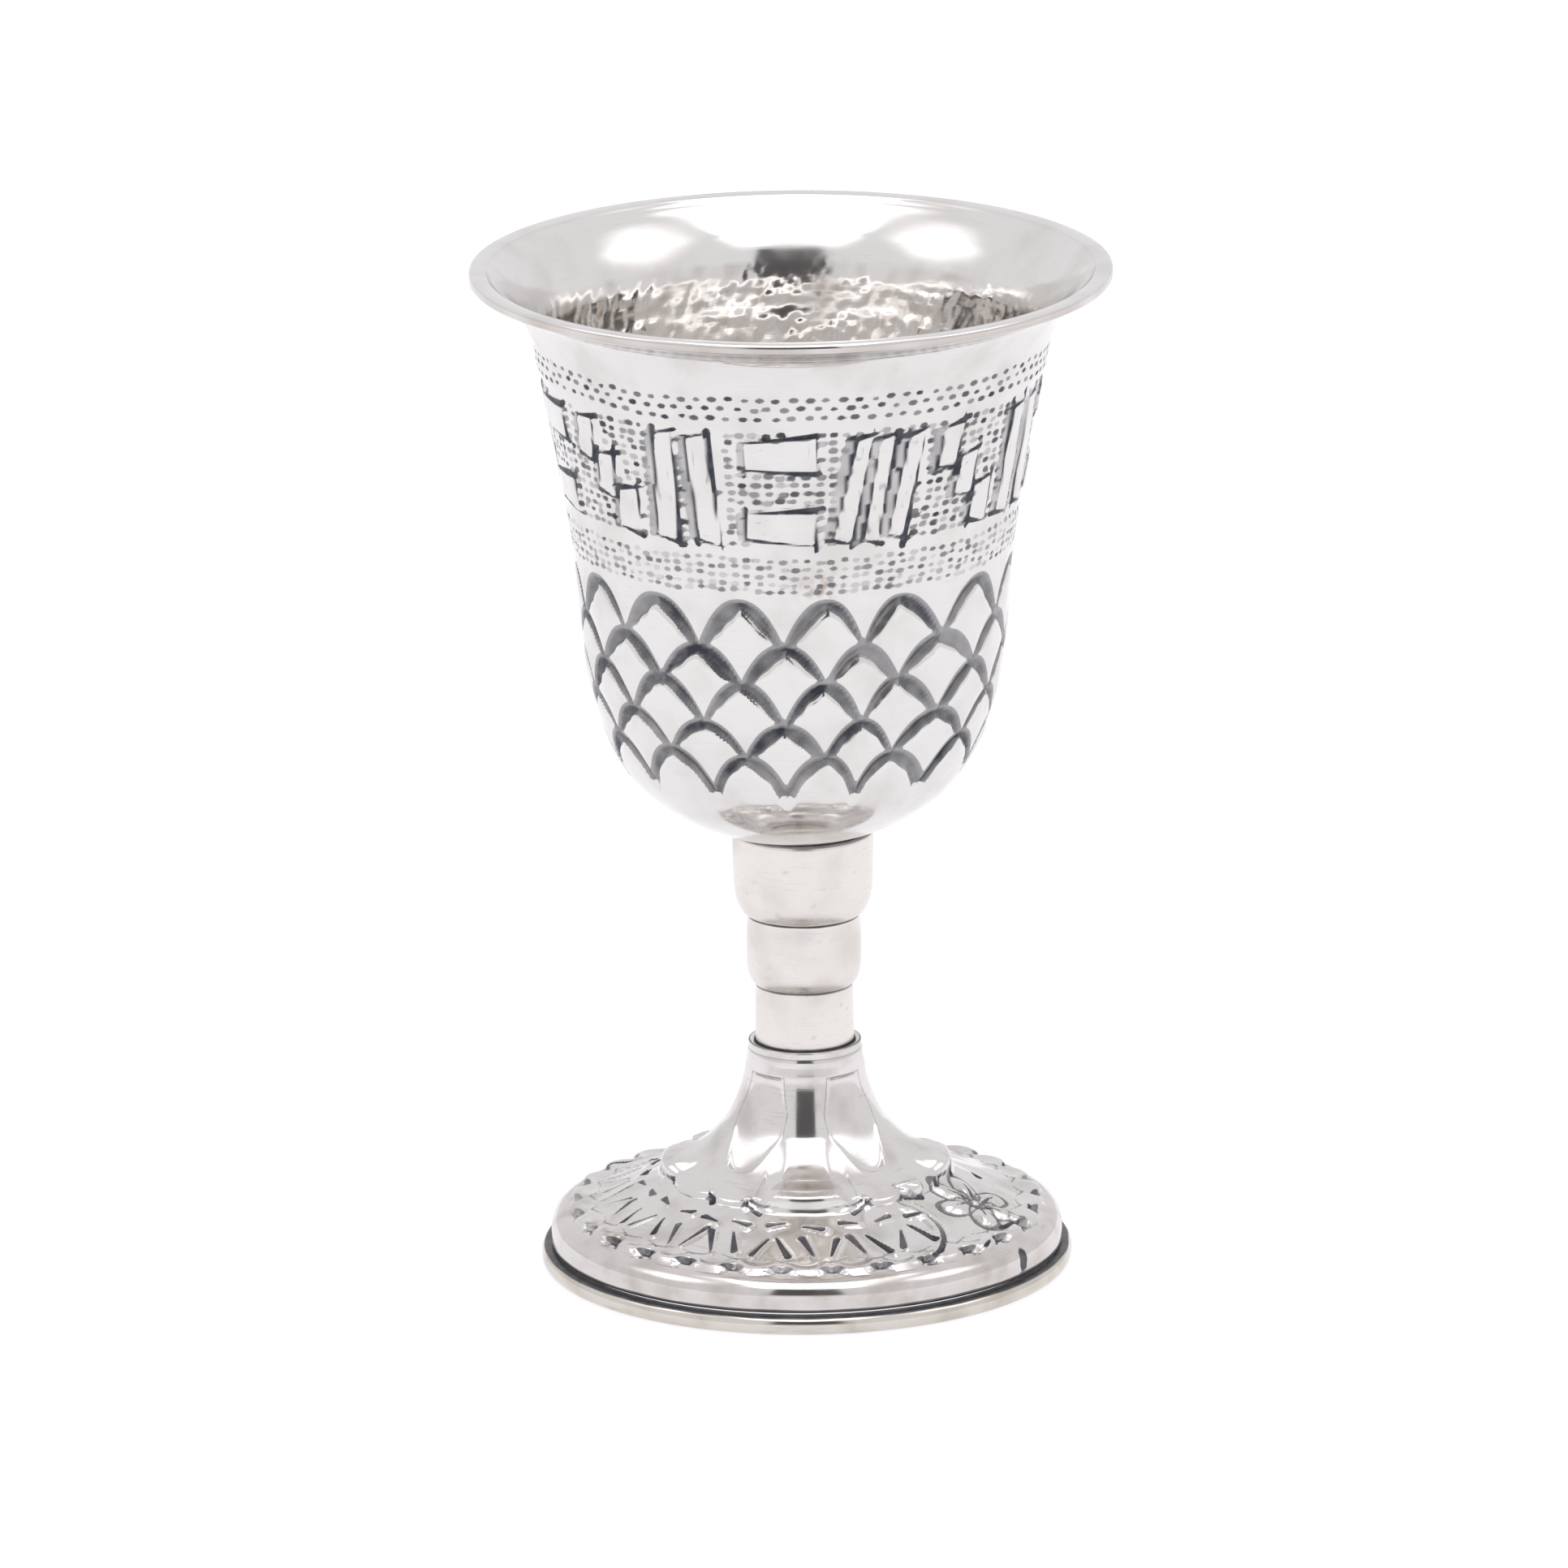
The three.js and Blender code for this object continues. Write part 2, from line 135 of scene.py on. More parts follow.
def inside_polygon(x: Grid, y: Grid, corners: Grid) -> Grid:
    """The distance outside a convex polygon in mm, negative inside: the largest distance beyond any side.

    Args:
        x: Millimetres across.
        y: Millimetres up.
        corners: The polygon's corners, anticlockwise.

    Returns:
        The signed distance.
    """
    following = np.roll(corners, -1, axis=0)
    distance = np.full(np.broadcast(x, y).shape, -np.inf)
    for (ax, ay), (bx, by) in zip(corners, following):
        length = math.hypot(bx - ax, by - ay)
        beyond = ((x - ax) * (by - ay) - (y - ay) * (bx - ax)) / length
        distance = np.maximum(distance, beyond)
    return distance


class Outline:
    """A turned outline: [radius, height] points close together, with the length run to each."""

    def __init__(self, points: Grid) -> None:
        """Keeps the points and measures the way along them.

        Args:
            points: The [radius, height] points.
        """
        self.points = np.asarray(points, float)
        steps = np.hypot(*np.diff(self.points, axis=0).T)
        self.run = np.concatenate([[0.0], np.cumsum(steps)])

    @classmethod
    def through(cls, knots: Sequence[Pair], steps: int = 60) -> "Outline":
        """A centripetal Catmull-Rom curve: between two knots a cubic whose slopes at them come from the
        neighbouring knots, weighted by the square roots of the distances between knots.

        Args:
            knots: The [radius, height] knots.
            steps: Points made between two knots.

        Returns:
            The outline.
        """
        inner = np.array(knots, float)
        padded = np.vstack([2.0 * inner[0] - inner[1], inner, 2.0 * inner[-1] - inner[-2]])
        p0, p1, p2, p3 = padded[:-3], padded[1:-2], padded[2:-1], padded[3:]
        gap0, gap1, gap2 = (np.hypot(*(b - a).T)[:, None] ** 0.5 for a, b in ((p0, p1), (p1, p2), (p2, p3)))
        slope1 = ((p1 - p0) / gap0 - (p2 - p0) / (gap0 + gap1) + (p2 - p1) / gap1) * gap1
        slope2 = ((p2 - p1) / gap1 - (p3 - p1) / (gap1 + gap2) + (p3 - p2) / gap2) * gap1
        t = np.linspace(0.0, 1.0, steps, endpoint=False)[None, :, None]
        cubic = 2.0 * p1 - 2.0 * p2 + slope1 + slope2
        square = -3.0 * p1 + 3.0 * p2 - 2.0 * slope1 - slope2
        curve = p1[:, None] + slope1[:, None] * t + square[:, None] * t**2 + cubic[:, None] * t**3
        return cls(np.vstack([curve.reshape(-1, 2), inner[-1:]]))

    def at(self, runs: Grid) -> Grid:
        """The [radius, height] points at these lengths along the outline."""
        return np.stack([np.interp(runs, self.run, self.points[:, axis]) for axis in (0, 1)], axis=-1)

    def run_at_height(self, height: float) -> float:
        """The length run to a height, on an outline that rises all along."""
        return float(np.interp(height, self.points[:, 1], self.run))

    def run_at_radius(self, radius: float) -> float:
        """The length run to a radius, on an outline that widens all along."""
        return float(np.interp(radius, self.points[:, 0], self.run))

    def between(self, start: float, end: float, spacing: float) -> Grid:
        """Points from one length up to, but without, another, about a spacing apart."""
        count = max(2, round(abs(end - start) / spacing))
        return self.at(np.linspace(start, end, count, endpoint=False))

    def moved(self, distance: float) -> "Outline":
        """The outline one distance to the left of its own way: inwards, where it rises.

        Args:
            distance: How far it moves, in mm.

        Returns:
            The moved outline.
        """
        way = np.gradient(self.points, axis=0)
        way /= np.hypot(*way.T)[:, None]
        return Outline(self.points + distance * np.stack([-way[:, 1], way[:, 0]], axis=-1))


def arc(centre: Pair, radius: float, start: float, end: float, count: int) -> Grid:
    """Points on an arc: the centre plus the radius turned from one angle to another."""
    turned = np.radians(np.linspace(start, end, count))
    return np.stack([centre[0] + radius * np.cos(turned), centre[1] + radius * np.sin(turned)], axis=-1)


def add_object(name: str, data: bpy.types.ID) -> bpy.types.Object:
    """Makes an object and links it to the scene.

    Args:
        name: Its name.
        data: Its mesh, light or camera.

    Returns:
        The object.
    """
    made = bpy.data.objects.new(name, data)
    bpy.context.scene.collection.objects.link(made)
    return made


# ---- Chased surfaces ------------------------------------------------------------------------


@dataclass
class Patch:
    """Part of a turned surface, and what the tools leave on it.

    The angles lie along its rows, the radii and heights along its columns. Each mark's patina or painted
    shade is kept as the distance inside its edge and its tone, from which the finish draws a sharp edge
    between the columns, and stain is brown tarnish from 0 to 1.
    """

    angle: Grid
    radius: Grid
    height: Grid
    raised: Grid = field(init=False)
    sunk: Grid = field(init=False)
    edge: Grid = field(init=False)
    tone: Grid = field(init=False)
    stain: Grid = field(init=False)

    def __post_init__(self) -> None:
        """Starts with an untouched surface."""
        untouched = np.zeros(np.broadcast(self.angle, self.height).shape)
        self.raised = self.sunk = self.tone = self.stain = untouched
        self.edge = untouched - 1.0

    def again(self) -> "Patch":
        """The same place, untouched."""
        return Patch(self.angle, self.radius, self.height)

    def across(self, place: Number) -> Grid:
        """Millimetres round the surface from an angle."""
        return np.radians(turn(place, self.angle)) * self.radius

    def ripple(self, seed: int, waves: float, length: float, along: Number | None = None) -> Grid:
        """Uneven hand work over the patch, along its height unless another way is given."""
        return ripple(self.angle, self.height if along is None else along, seed, waves, length)

    def mark(self, inside: Grid, tone: Number) -> None:
        """Darkens what lies inside an edge.

        Args:
            inside: Millimetres inside the edge.
            tone: How dark it is, from 0 to 1.
        """
        inside = np.clip(inside, -1.0, 1.0)
        nearer = inside > self.edge
        self.tone = np.where(nearer, tone, self.tone)
        self.edge = np.where(nearer, inside, self.edge)

    def sink(self, depth: Grid) -> None:
        """Sinks the surface to a depth where it isn't as deep already."""
        self.sunk = np.maximum(self.sunk, depth)

    def cut(self, inside: Grid, half: Number, depth: float, tone: Number) -> None:
        """Sinks a mark to its depth at half its width, and darkens it."""
        self.sink(np.clip(inside / half, 0.0, 1.0) * depth)
        self.mark(inside, tone)

    def lift(self, share: Grid, height: float) -> None:
        """Raises the surface by a share of a height."""
        self.raised = self.raised + share * height

    def soil(self, stain: Grid) -> None:
        """Adds brown tarnish."""
        self.stain = self.stain + stain

    @property
    def out(self) -> Grid:
        """How far each point moves along its normal, in mm."""
        return self.raised - self.sunk


@dataclass
class Stretch:
    """Rows of an outline that share one number of columns, with the chasing that they carry."""

    rows: Grid
    columns: int
    carve: Callable[[Patch], None] | None = None

    def angles(self) -> Grid:
        """The columns' angles in degrees, evenly round the axis."""
        return np.arange(self.columns) * (360.0 / self.columns)


@dataclass
class TurnedMesh:
    """A closed surface turned round an upright axis.

    A row of one column is a pole. Rows with different numbers of columns are joined by triangles: each
    edge of one row goes with the vertex of the other whose edges' middles lie on either side of its own.
    """

    name: str
    stretches: list[Stretch]
    centre: Pair = (0.0, 0.0)
    looped: bool = False

    def build(self) -> bpy.types.Object:
        """Makes the mesh, smooth-shaded, with its marks in point attributes.

        Returns:
            Its object, linked to the scene.
        """
        vertices, marks = self._vertices()
        corners, sizes = self._faces()
        mesh = bpy.data.meshes.new(self.name)
        mesh.vertices.add(len(vertices))
        mesh.vertices.foreach_set("co", (vertices * MM).astype(np.float32).ravel())
        mesh.loops.add(len(corners))
        mesh.loops.foreach_set("vertex_index", corners.astype(np.int32))
        mesh.polygons.add(len(sizes))
        starts = np.concatenate([[0], np.cumsum(sizes)[:-1]])
        mesh.polygons.foreach_set("loop_start", starts.astype(np.int32))
        mesh.polygons.foreach_set("use_smooth", np.ones(len(sizes), bool))
        mesh.update(calc_edges=True)
        for name, values in marks.items():
            mesh.attributes.new(name, "FLOAT", "POINT").data.foreach_set("value", values.astype(np.float32))
        log.info("%s: %d vertices, %d triangles", self.name, len(vertices), int((sizes - 2).sum()))
        return add_object(self.name, mesh)

    def _vertices(self) -> tuple[Grid, dict[str, Grid]]:
        """Places every row's vertices, moved along the outline's normals by their relief.

        Returns:
            The vertices in order, and the marks on each by attribute name.
        """
        outline = np.vstack([stretch.rows for stretch in self.stretches])
        if self.looped:
            way = np.roll(outline, -1, axis=0) - np.roll(outline, 1, axis=0)
        else:
            way = np.gradient(outline, axis=0)
        way /= np.maximum(np.hypot(*way.T)[:, None], 1e-9)
        normals = np.stack([way[:, 1], -way[:, 0]], axis=-1)
        points, marks, first = [], {EDGE: [], TONE: [], STAIN: []}, 0
        for stretch in self.stretches:
            count = len(stretch.rows)
            radius, height = stretch.rows[:, :1], stretch.rows[:, 1:]
            normal = normals[first : first + count]
            first += count
            patch = Patch(stretch.angles()[None, :], radius, height)
            if stretch.carve:
                stretch.carve(patch)
            around = radius + normal[:, :1] * patch.out
            along = height + normal[:, 1:] * patch.out
            x = self.centre[0] + around * np.sin(np.radians(patch.angle))
            y = self.centre[1] - around * np.cos(np.radians(patch.angle))
            points.append(np.stack([x, y, along], axis=-1).reshape(-1, 3))
            for name, values in zip(marks, (patch.edge, patch.tone, patch.stain)):
                marks[name].append(values.ravel())
        return np.vstack(points), {name: np.concatenate(values) for name, values in marks.items()}

    def _faces(self) -> tuple[Grid, Grid]:
        """Joins each stretch's rows by quads, and the stretches by triangles.

        Returns:
            The faces' vertex numbers in one row, and how many corners each face has.
        """
        quads, triangles, rings, first = [], [], [], 0
        for stretch in self.stretches:
            count, columns = len(stretch.rows), stretch.columns
            grid = first + np.arange(count * columns).reshape(count, columns)
            rings.append((grid[0], grid[-1], stretch.angles()))
            first += grid.size
            lower, upper = grid[:-1], grid[1:]
            faces = [lower, np.roll(lower, -1, 1), np.roll(upper, -1, 1), upper]
            quads.append(np.stack(faces, axis=-1).reshape(-1, 4))
        following = rings[1:] + rings[:1] if self.looped else rings[1:]
        for (_, lower, lower_angles), (upper, _, upper_angles) in zip(rings, following):
            triangles.append(self._zip(lower, lower_angles, upper, upper_angles))
        quads, triangles = np.vstack(quads), np.vstack(triangles)
        sizes = np.concatenate([np.full(len(quads), 4), np.full(len(triangles), 3)])
        return np.concatenate([quads.ravel(), triangles.ravel()]), sizes

    @staticmethod
    def _zip(
        lower: Grid, lower_angles: Grid, upper: Grid, upper_angles: Grid
    ) -> Grid:
        """Triangles between two rings of different numbers of vertices.

        Args:
            lower: The vertices of the ring that comes first along the outline.
            lower_angles: Their angles.
            upper: The vertices of the ring after it.
            upper_angles: Their angles.

        Returns:
            The triangles' vertex numbers.
        """
        lower_middle = (lower_angles + np.append(lower_angles[1:], 360.0)) / 2.0
        upper_middle = (upper_angles + np.append(upper_angles[1:], 360.0)) / 2.0
        apex = upper[np.searchsorted(upper_middle, lower_middle, side="left") % len(upper)]
        from_lower = np.stack([lower, np.roll(lower, -1), apex], axis=-1)
        apex = lower[np.searchsorted(lower_middle, upper_middle, side="right") % len(lower)]
        from_upper = np.stack([apex, np.roll(upper, -1), upper], axis=-1)
        both = np.vstack([from_lower, from_upper])
        a, b, c = both.T
        return both[(a != b) & (b != c) & (c != a)]


# ---- Finishes -------------------------------------------------------------------------------


def linear(colour: str) -> tuple[float, float, float, float]:
    """Turns an sRGB colour into linear light.

    Args:
        colour: The colour as "#" and six hex digits.

    Returns:
        Red, green, blue and alpha.
    """
    shares = np.array([int(colour[place : place + 2], 16) for place in (1, 3, 5)]) / 255.0
    values = np.where(shares <= 0.04045, shares / 12.92, ((shares + 0.055) / 1.055) ** 2.4)
    return (*values.tolist(), 1.0)


class Nodes:
    """A new material and its nodes; sockets go by their identifiers."""

    def __init__(self, name: str) -> None:
        """Starts with an empty tree.

        Args:
            name: The material's name.
        """
        self.material = bpy.data.materials.new(name)
        self.material.use_nodes = True
        self.tree = self.material.node_tree
        self.tree.nodes.clear()

    def add(self, kind: str, result: str, inputs: dict | None = None, **settings: object) -> Socket:
        """Adds a node, sets it up and links it.

        Args:
            kind: The node's type, without the "ShaderNode" before it.
            result: The output that is wanted.
            inputs: A value, or another node's output, for each input.
            settings: The node's own properties.

        Returns:
            The output.
        """
        made = self.tree.nodes.new("ShaderNode" + kind)
        for name, value in settings.items():
            setattr(made, name, value)
        sockets = {socket.identifier: socket for socket in made.inputs}
        for name, value in (inputs or {}).items():
            if isinstance(value, Socket):
                self.tree.links.new(value, sockets[name])
            else:
                sockets[name].default_value = value
        return {socket.identifier: socket for socket in made.outputs}[result]

    def finish(self, shader: Socket) -> bpy.types.Material:
        """Links a shader to the material's surface.

        Args:
            shader: The shader's output.

        Returns:
            The material.
        """
        made = self.tree.nodes.new("ShaderNodeOutputMaterial")
        self.tree.links.new(shader, made.inputs["Surface"])
        return self.material

    def attribute(self, name: str) -> Socket:
        """A number kept at each of the mesh's points."""
        return self.add("Attribute", "Fac", attribute_name=name)

    def calculate(self, operation: str, first: Socket, second: Socket) -> Socket:
        """One sum, product or the like of two numbers."""
        return self.add("Math", "Value", {"Value": first, "Value_001": second}, operation=operation)

    def mix(self, share: Socket, first: Socket | float | tuple, second: Socket | float | tuple) -> Socket:
        """Mixes two colours or two numbers.

        Args:
            share: The second one's share.
            first: The first one.
            second: The second one.

        Returns:
            The mix.
        """
        kind, name = ("FLOAT", "Float") if isinstance(second, float) else ("RGBA", "Color")
        inputs = {"Factor_Float": share, "A_" + name: first, "B_" + name: second}
        return self.add("Mix", "Result_" + name, inputs, data_type=kind)

    def noise(self, place: Socket, size: float, detail: float) -> Socket:
        """Noise with lumps of a size in millimetres."""
        return self.add("TexNoise", "Fac", {"Vector": place, "Scale": 1.0 / (size * MM), "Detail": detail})

    def spread(self, value: Socket, low: float, high: float, least: float, most: float) -> Socket:
        """Eases a value from least at low to most at high."""
        ends = {"Value": value, "From Min": low, "From Max": high, "To Min": least, "To Max": most}
        return self.add("MapRange", "Result", ends, interpolation_type="SMOOTHSTEP")


@dataclass(frozen=True)
class SilverFinish:
    """Polished sterling silver with what age and the tools leave on it.

    The polish mirrors the room with a pale, faintly warm grey. A thin haze of tarnish dulls it in soft
    patches and turns brown where dirt gathers, fine wiping scratches lie across it, and dark silver
    sulphide, blue-grey at its thin edges, stays where the polishing cloth can't reach. The same dark colour
    also paints shade and dark reflections on some of the marks.
    """

    name: str
    polish: str = "#e6e4e3"
    haze: str = "#d2cfca"
    # The dark colour of sulphide patina, also used for painted shade and dark reflections.
    patina_and_shade: str = "#3f4148"
    tarnish: str = "#8a7257"
    roughness: float = 0.1
    haze_roughness: float = 0.3
    patina_and_shade_roughness: float = 0.42
    edge_softness: float = 0.07
    haze_size: float = 7.0
    haze_amount: float = 0.6
    wear_size: float = 1.4
    scuff_amount: float = 0.3
    wave_size: float = 5.0
    wave_height: float = 0.012
    scratch_size: float = 0.16
    scratch_length: float = 5.0
    scratch_height: float = 0.0016

    def build(self) -> bpy.types.Material:
        """Makes colour, roughness and bump from Object coordinates and the mark attributes.

        Returns:
            The material.
        """
        nodes = Nodes(self.name)
        place = nodes.add("TexCoord", "Object")
        lines = self._lines(nodes, place)
        scuffs = nodes.spread(lines, 0.6, 0.72, 0.0, self.scuff_amount)
        patches = nodes.spread(nodes.noise(place, self.haze_size, 6.0), 0.42, 0.75, 0.0, self.haze_amount)
        haze = nodes.calculate("MAXIMUM", patches, scuffs)
        patina_and_shade = self._patina_and_shade(nodes, place)
        hazy = nodes.mix(haze, linear(self.polish), linear(self.haze))
        stained = nodes.mix(nodes.attribute(STAIN), hazy, linear(self.tarnish))
        dulled = nodes.mix(haze, self.roughness, self.haze_roughness)
        inputs = {
            "Base Color": nodes.mix(patina_and_shade, stained, linear(self.patina_and_shade)),
            "Roughness": nodes.mix(patina_and_shade, dulled, self.patina_and_shade_roughness),
            "Metallic": 1.0,
            "Normal": self._bump(nodes, place, lines),
        }
        return nodes.finish(nodes.add("BsdfPrincipled", "BSDF", inputs))

    def _patina_and_shade(self, nodes: Nodes, place: Socket) -> Socket:
        """The marks' tone inside their edge, worn unevenly by noise of about a millimetre.

        Args:
            nodes: The material's nodes.
            place: The Object coordinates.

        Returns:
            The share of patina and painted shade.
        """
        inside = nodes.spread(nodes.attribute(EDGE), -self.edge_softness, self.edge_softness, 0.0, 1.0)
        wear = nodes.spread(nodes.noise(place, self.wear_size, 3.0), 0.3, 0.62, 0.92, 1.0)
        toned = nodes.calculate("MULTIPLY", inside, nodes.attribute(TONE))
        worn = {"Value": toned, "Value_001": wear}
        return nodes.add("Math", "Value", worn, operation="MULTIPLY", use_clamp=True)

    def _lines(self, nodes: Nodes, place: Socket) -> Socket:
        """Fine wiping lines that run round the piece: noise drawn out sideways.

        Args:
            nodes: The material's nodes.
            place: The Object coordinates.

        Returns:
            The lines' height.
        """
        flat = self.scratch_size / self.scratch_length
        drawn = nodes.add("Mapping", "Vector", {"Vector": place, "Scale": (flat, flat, 1.0)})
        return nodes.noise(drawn, self.scratch_size, 2.0)

    def _bump(self, nodes: Nodes, place: Socket, lines: Socket) -> Socket:
        """Slow waves left by the hammer and mandrel, under the wiping lines.

        Args:
            nodes: The material's nodes.
            place: The Object coordinates.
            lines: The wiping lines' height.

        Returns:
            The normal.
        """
        waves = {"Height": nodes.noise(place, self.wave_size, 2.0), "Distance": self.wave_height * MM}
        waved = nodes.add("Bump", "Normal", waves)
        scratches = {"Height": lines, "Distance": self.scratch_height * MM, "Normal": waved}
        return nodes.add("Bump", "Normal", scratches)


CHASED = SilverFinish("sterling_silver_chased_and_oxidised", polish="#e3e1de", haze="#cfccc7")
SPUN = SilverFinish(
    "sterling_silver_spun_and_wiped", polish="#e5e1db", haze="#cfcac2", roughness=0.26, haze_roughness=0.38,
    wave_height=0.006, scratch_height=0.003, scuff_amount=0.5,
)
STAMPED = SilverFinish(
    "sterling_silver_stamped_and_polished", polish="#dedbd8", haze="#bdb8b1", haze_amount=0.7, haze_size=5.0,
    wave_height=0.016, scuff_amount=0.45,
)
DRAWN = SilverFinish(
    "sterling_silver_drawn_wire_polished", polish="#dedad2", haze="#b9b3a6", haze_amount=0.7,
    wave_height=0.006, scuff_amount=0.5,
)


@dataclass
class Part:
    """A piece of the cup: it stands for one CAD node, on the cup's only body, in one finish."""

    node: str
    slot: str
    finish: SilverFinish

    def span(self) -> Place:
        """Half the width of the CAD node's box, its bottom and its top, in mm."""
        low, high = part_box(self.node)
        return (high.x - low.x) / 2.0 / MM, low.z / MM, high.z / MM

    def turned(self, make: str, stretches: list[Stretch], looped: bool = False) -> bpy.types.Object:
        """Turns the piece about the middle of its CAD node's box, and gives it its finish and its place.

        Args:
            make: How it is made, as the end of its name.
            stretches: Its rows.
            looped: Whether the last row joins the first.

        Returns:
            The piece.
        """
        low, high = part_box(self.node)
        centre = (low.x + high.x) / 2.0 / MM, (low.y + high.y) / 2.0 / MM
        piece = TurnedMesh(f"{self.node}_{make}", stretches, centre, looped).build()
        piece.data.materials.append(self.finish.build())
        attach(piece, "root")
        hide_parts(self.node)
        return piece


# ---- Bowl -----------------------------------------------------------------------------------


@dataclass(frozen=True)
class Stroke:
    """A chisel-ended bar of the inscription band, from its group's middle, in mm."""

    across: float
    up: float
    width: float
    height: float
    lean: float
    cut: float = 0.3

    def corners(self) -> Grid:
        """Leans a box sideways and cuts its ends on the slant.

        Returns:
            Its four corners, anticlockwise.
        """
        half, tall = self.width / 2.0, self.height / 2.0
        shape = [
            (-half - self.lean, self.cut - tall),
            (half - self.lean, -self.cut - tall),
            (half + self.lean, self.cut + tall),
            (-half + self.lean, -self.cut + tall),
        ]
        return np.array(shape) + (self.across, self.up)


class StrokeGroup(Enum):
    """Groups of strokes, none of them a letter."""

    PAIR = (Stroke(-2.5, 0, 3.1, 13.6, 0.2), Stroke(2.5, 0, 3.1, 13.6, -0.2))
    BARS = (Stroke(0, 4.5, 8.4, 4, 0), Stroke(0, -4.5, 8.4, 4, 0))
    SLANTS = tuple(Stroke(across, 0, 2.3, 13, 1) for across in (-3.4, 0, 3.4))
    STEPS = tuple(Stroke(across, up, 3.1, 5.4, 0.3) for across, up in ((-2.9, 3.9), (0.3, 0), (3.4, -3.9)))


@dataclass
class Punches:
    """Rows of marks from one small punch, struck by hand: their places, sizes and depths vary."""

    heights: list[float]
    count: int
    half_width: float
    half_height: float
    depth: float
    stagger: float = 0.5
    stray: float = 0.18
    seed: int = 1
    sway: float = 0.0
    power: float = 2.0
    tones: Pair = (0.6, 1.0)

    def strike(self, patch: Patch, allowed: Callable | None = None) -> None:
        """Strikes the marks: each is an oval of the given half sizes, deepest in its middle.

        Args:
            patch: The patch that is struck.
            allowed: Says for marks' angles and heights which of them are struck; all if left out.
        """
        random = np.random.default_rng(self.seed)
        pitch = 360.0 / self.count
        apart = np.degrees(0.4 / patch.radius.mean())
        low, high = self.tones
        for number, level in enumerate(self.heights):
            shift = self.stagger * (number % 2) + random.uniform(-0.08, 0.08)
            places = (np.arange(self.count) + shift) * pitch
            places = places + random.normal(0.0, self.stray, self.count) * apart
            levels = level + random.normal(0.0, self.stray, self.count) * 0.35
            levels = levels + self.sway * ripple(places, level, self.seed + 7, 9, 400.0)
            size = random.uniform(0.8, 1.18, self.count)
            force = random.uniform(0.0, 1.0, self.count)
            struck = np.ones(self.count, bool) if allowed is None else allowed(places, levels)
            nearest = np.round(patch.angle / pitch - shift).astype(int) % self.count
            across = patch.across(places[nearest]) / size[nearest]
            up = (patch.height - levels[nearest]) / size[nearest]
            inside = oval(across, up, self.half_width, self.half_height, self.power)
            inside = np.where(struck[nearest], inside, -1.0)
            depth = self.depth * (0.5 + 0.5 * force[nearest])
            patch.sink(depth * smooth(inside, -0.08, self.half_height))
            patch.mark(inside, low + (high - low) * force[nearest])


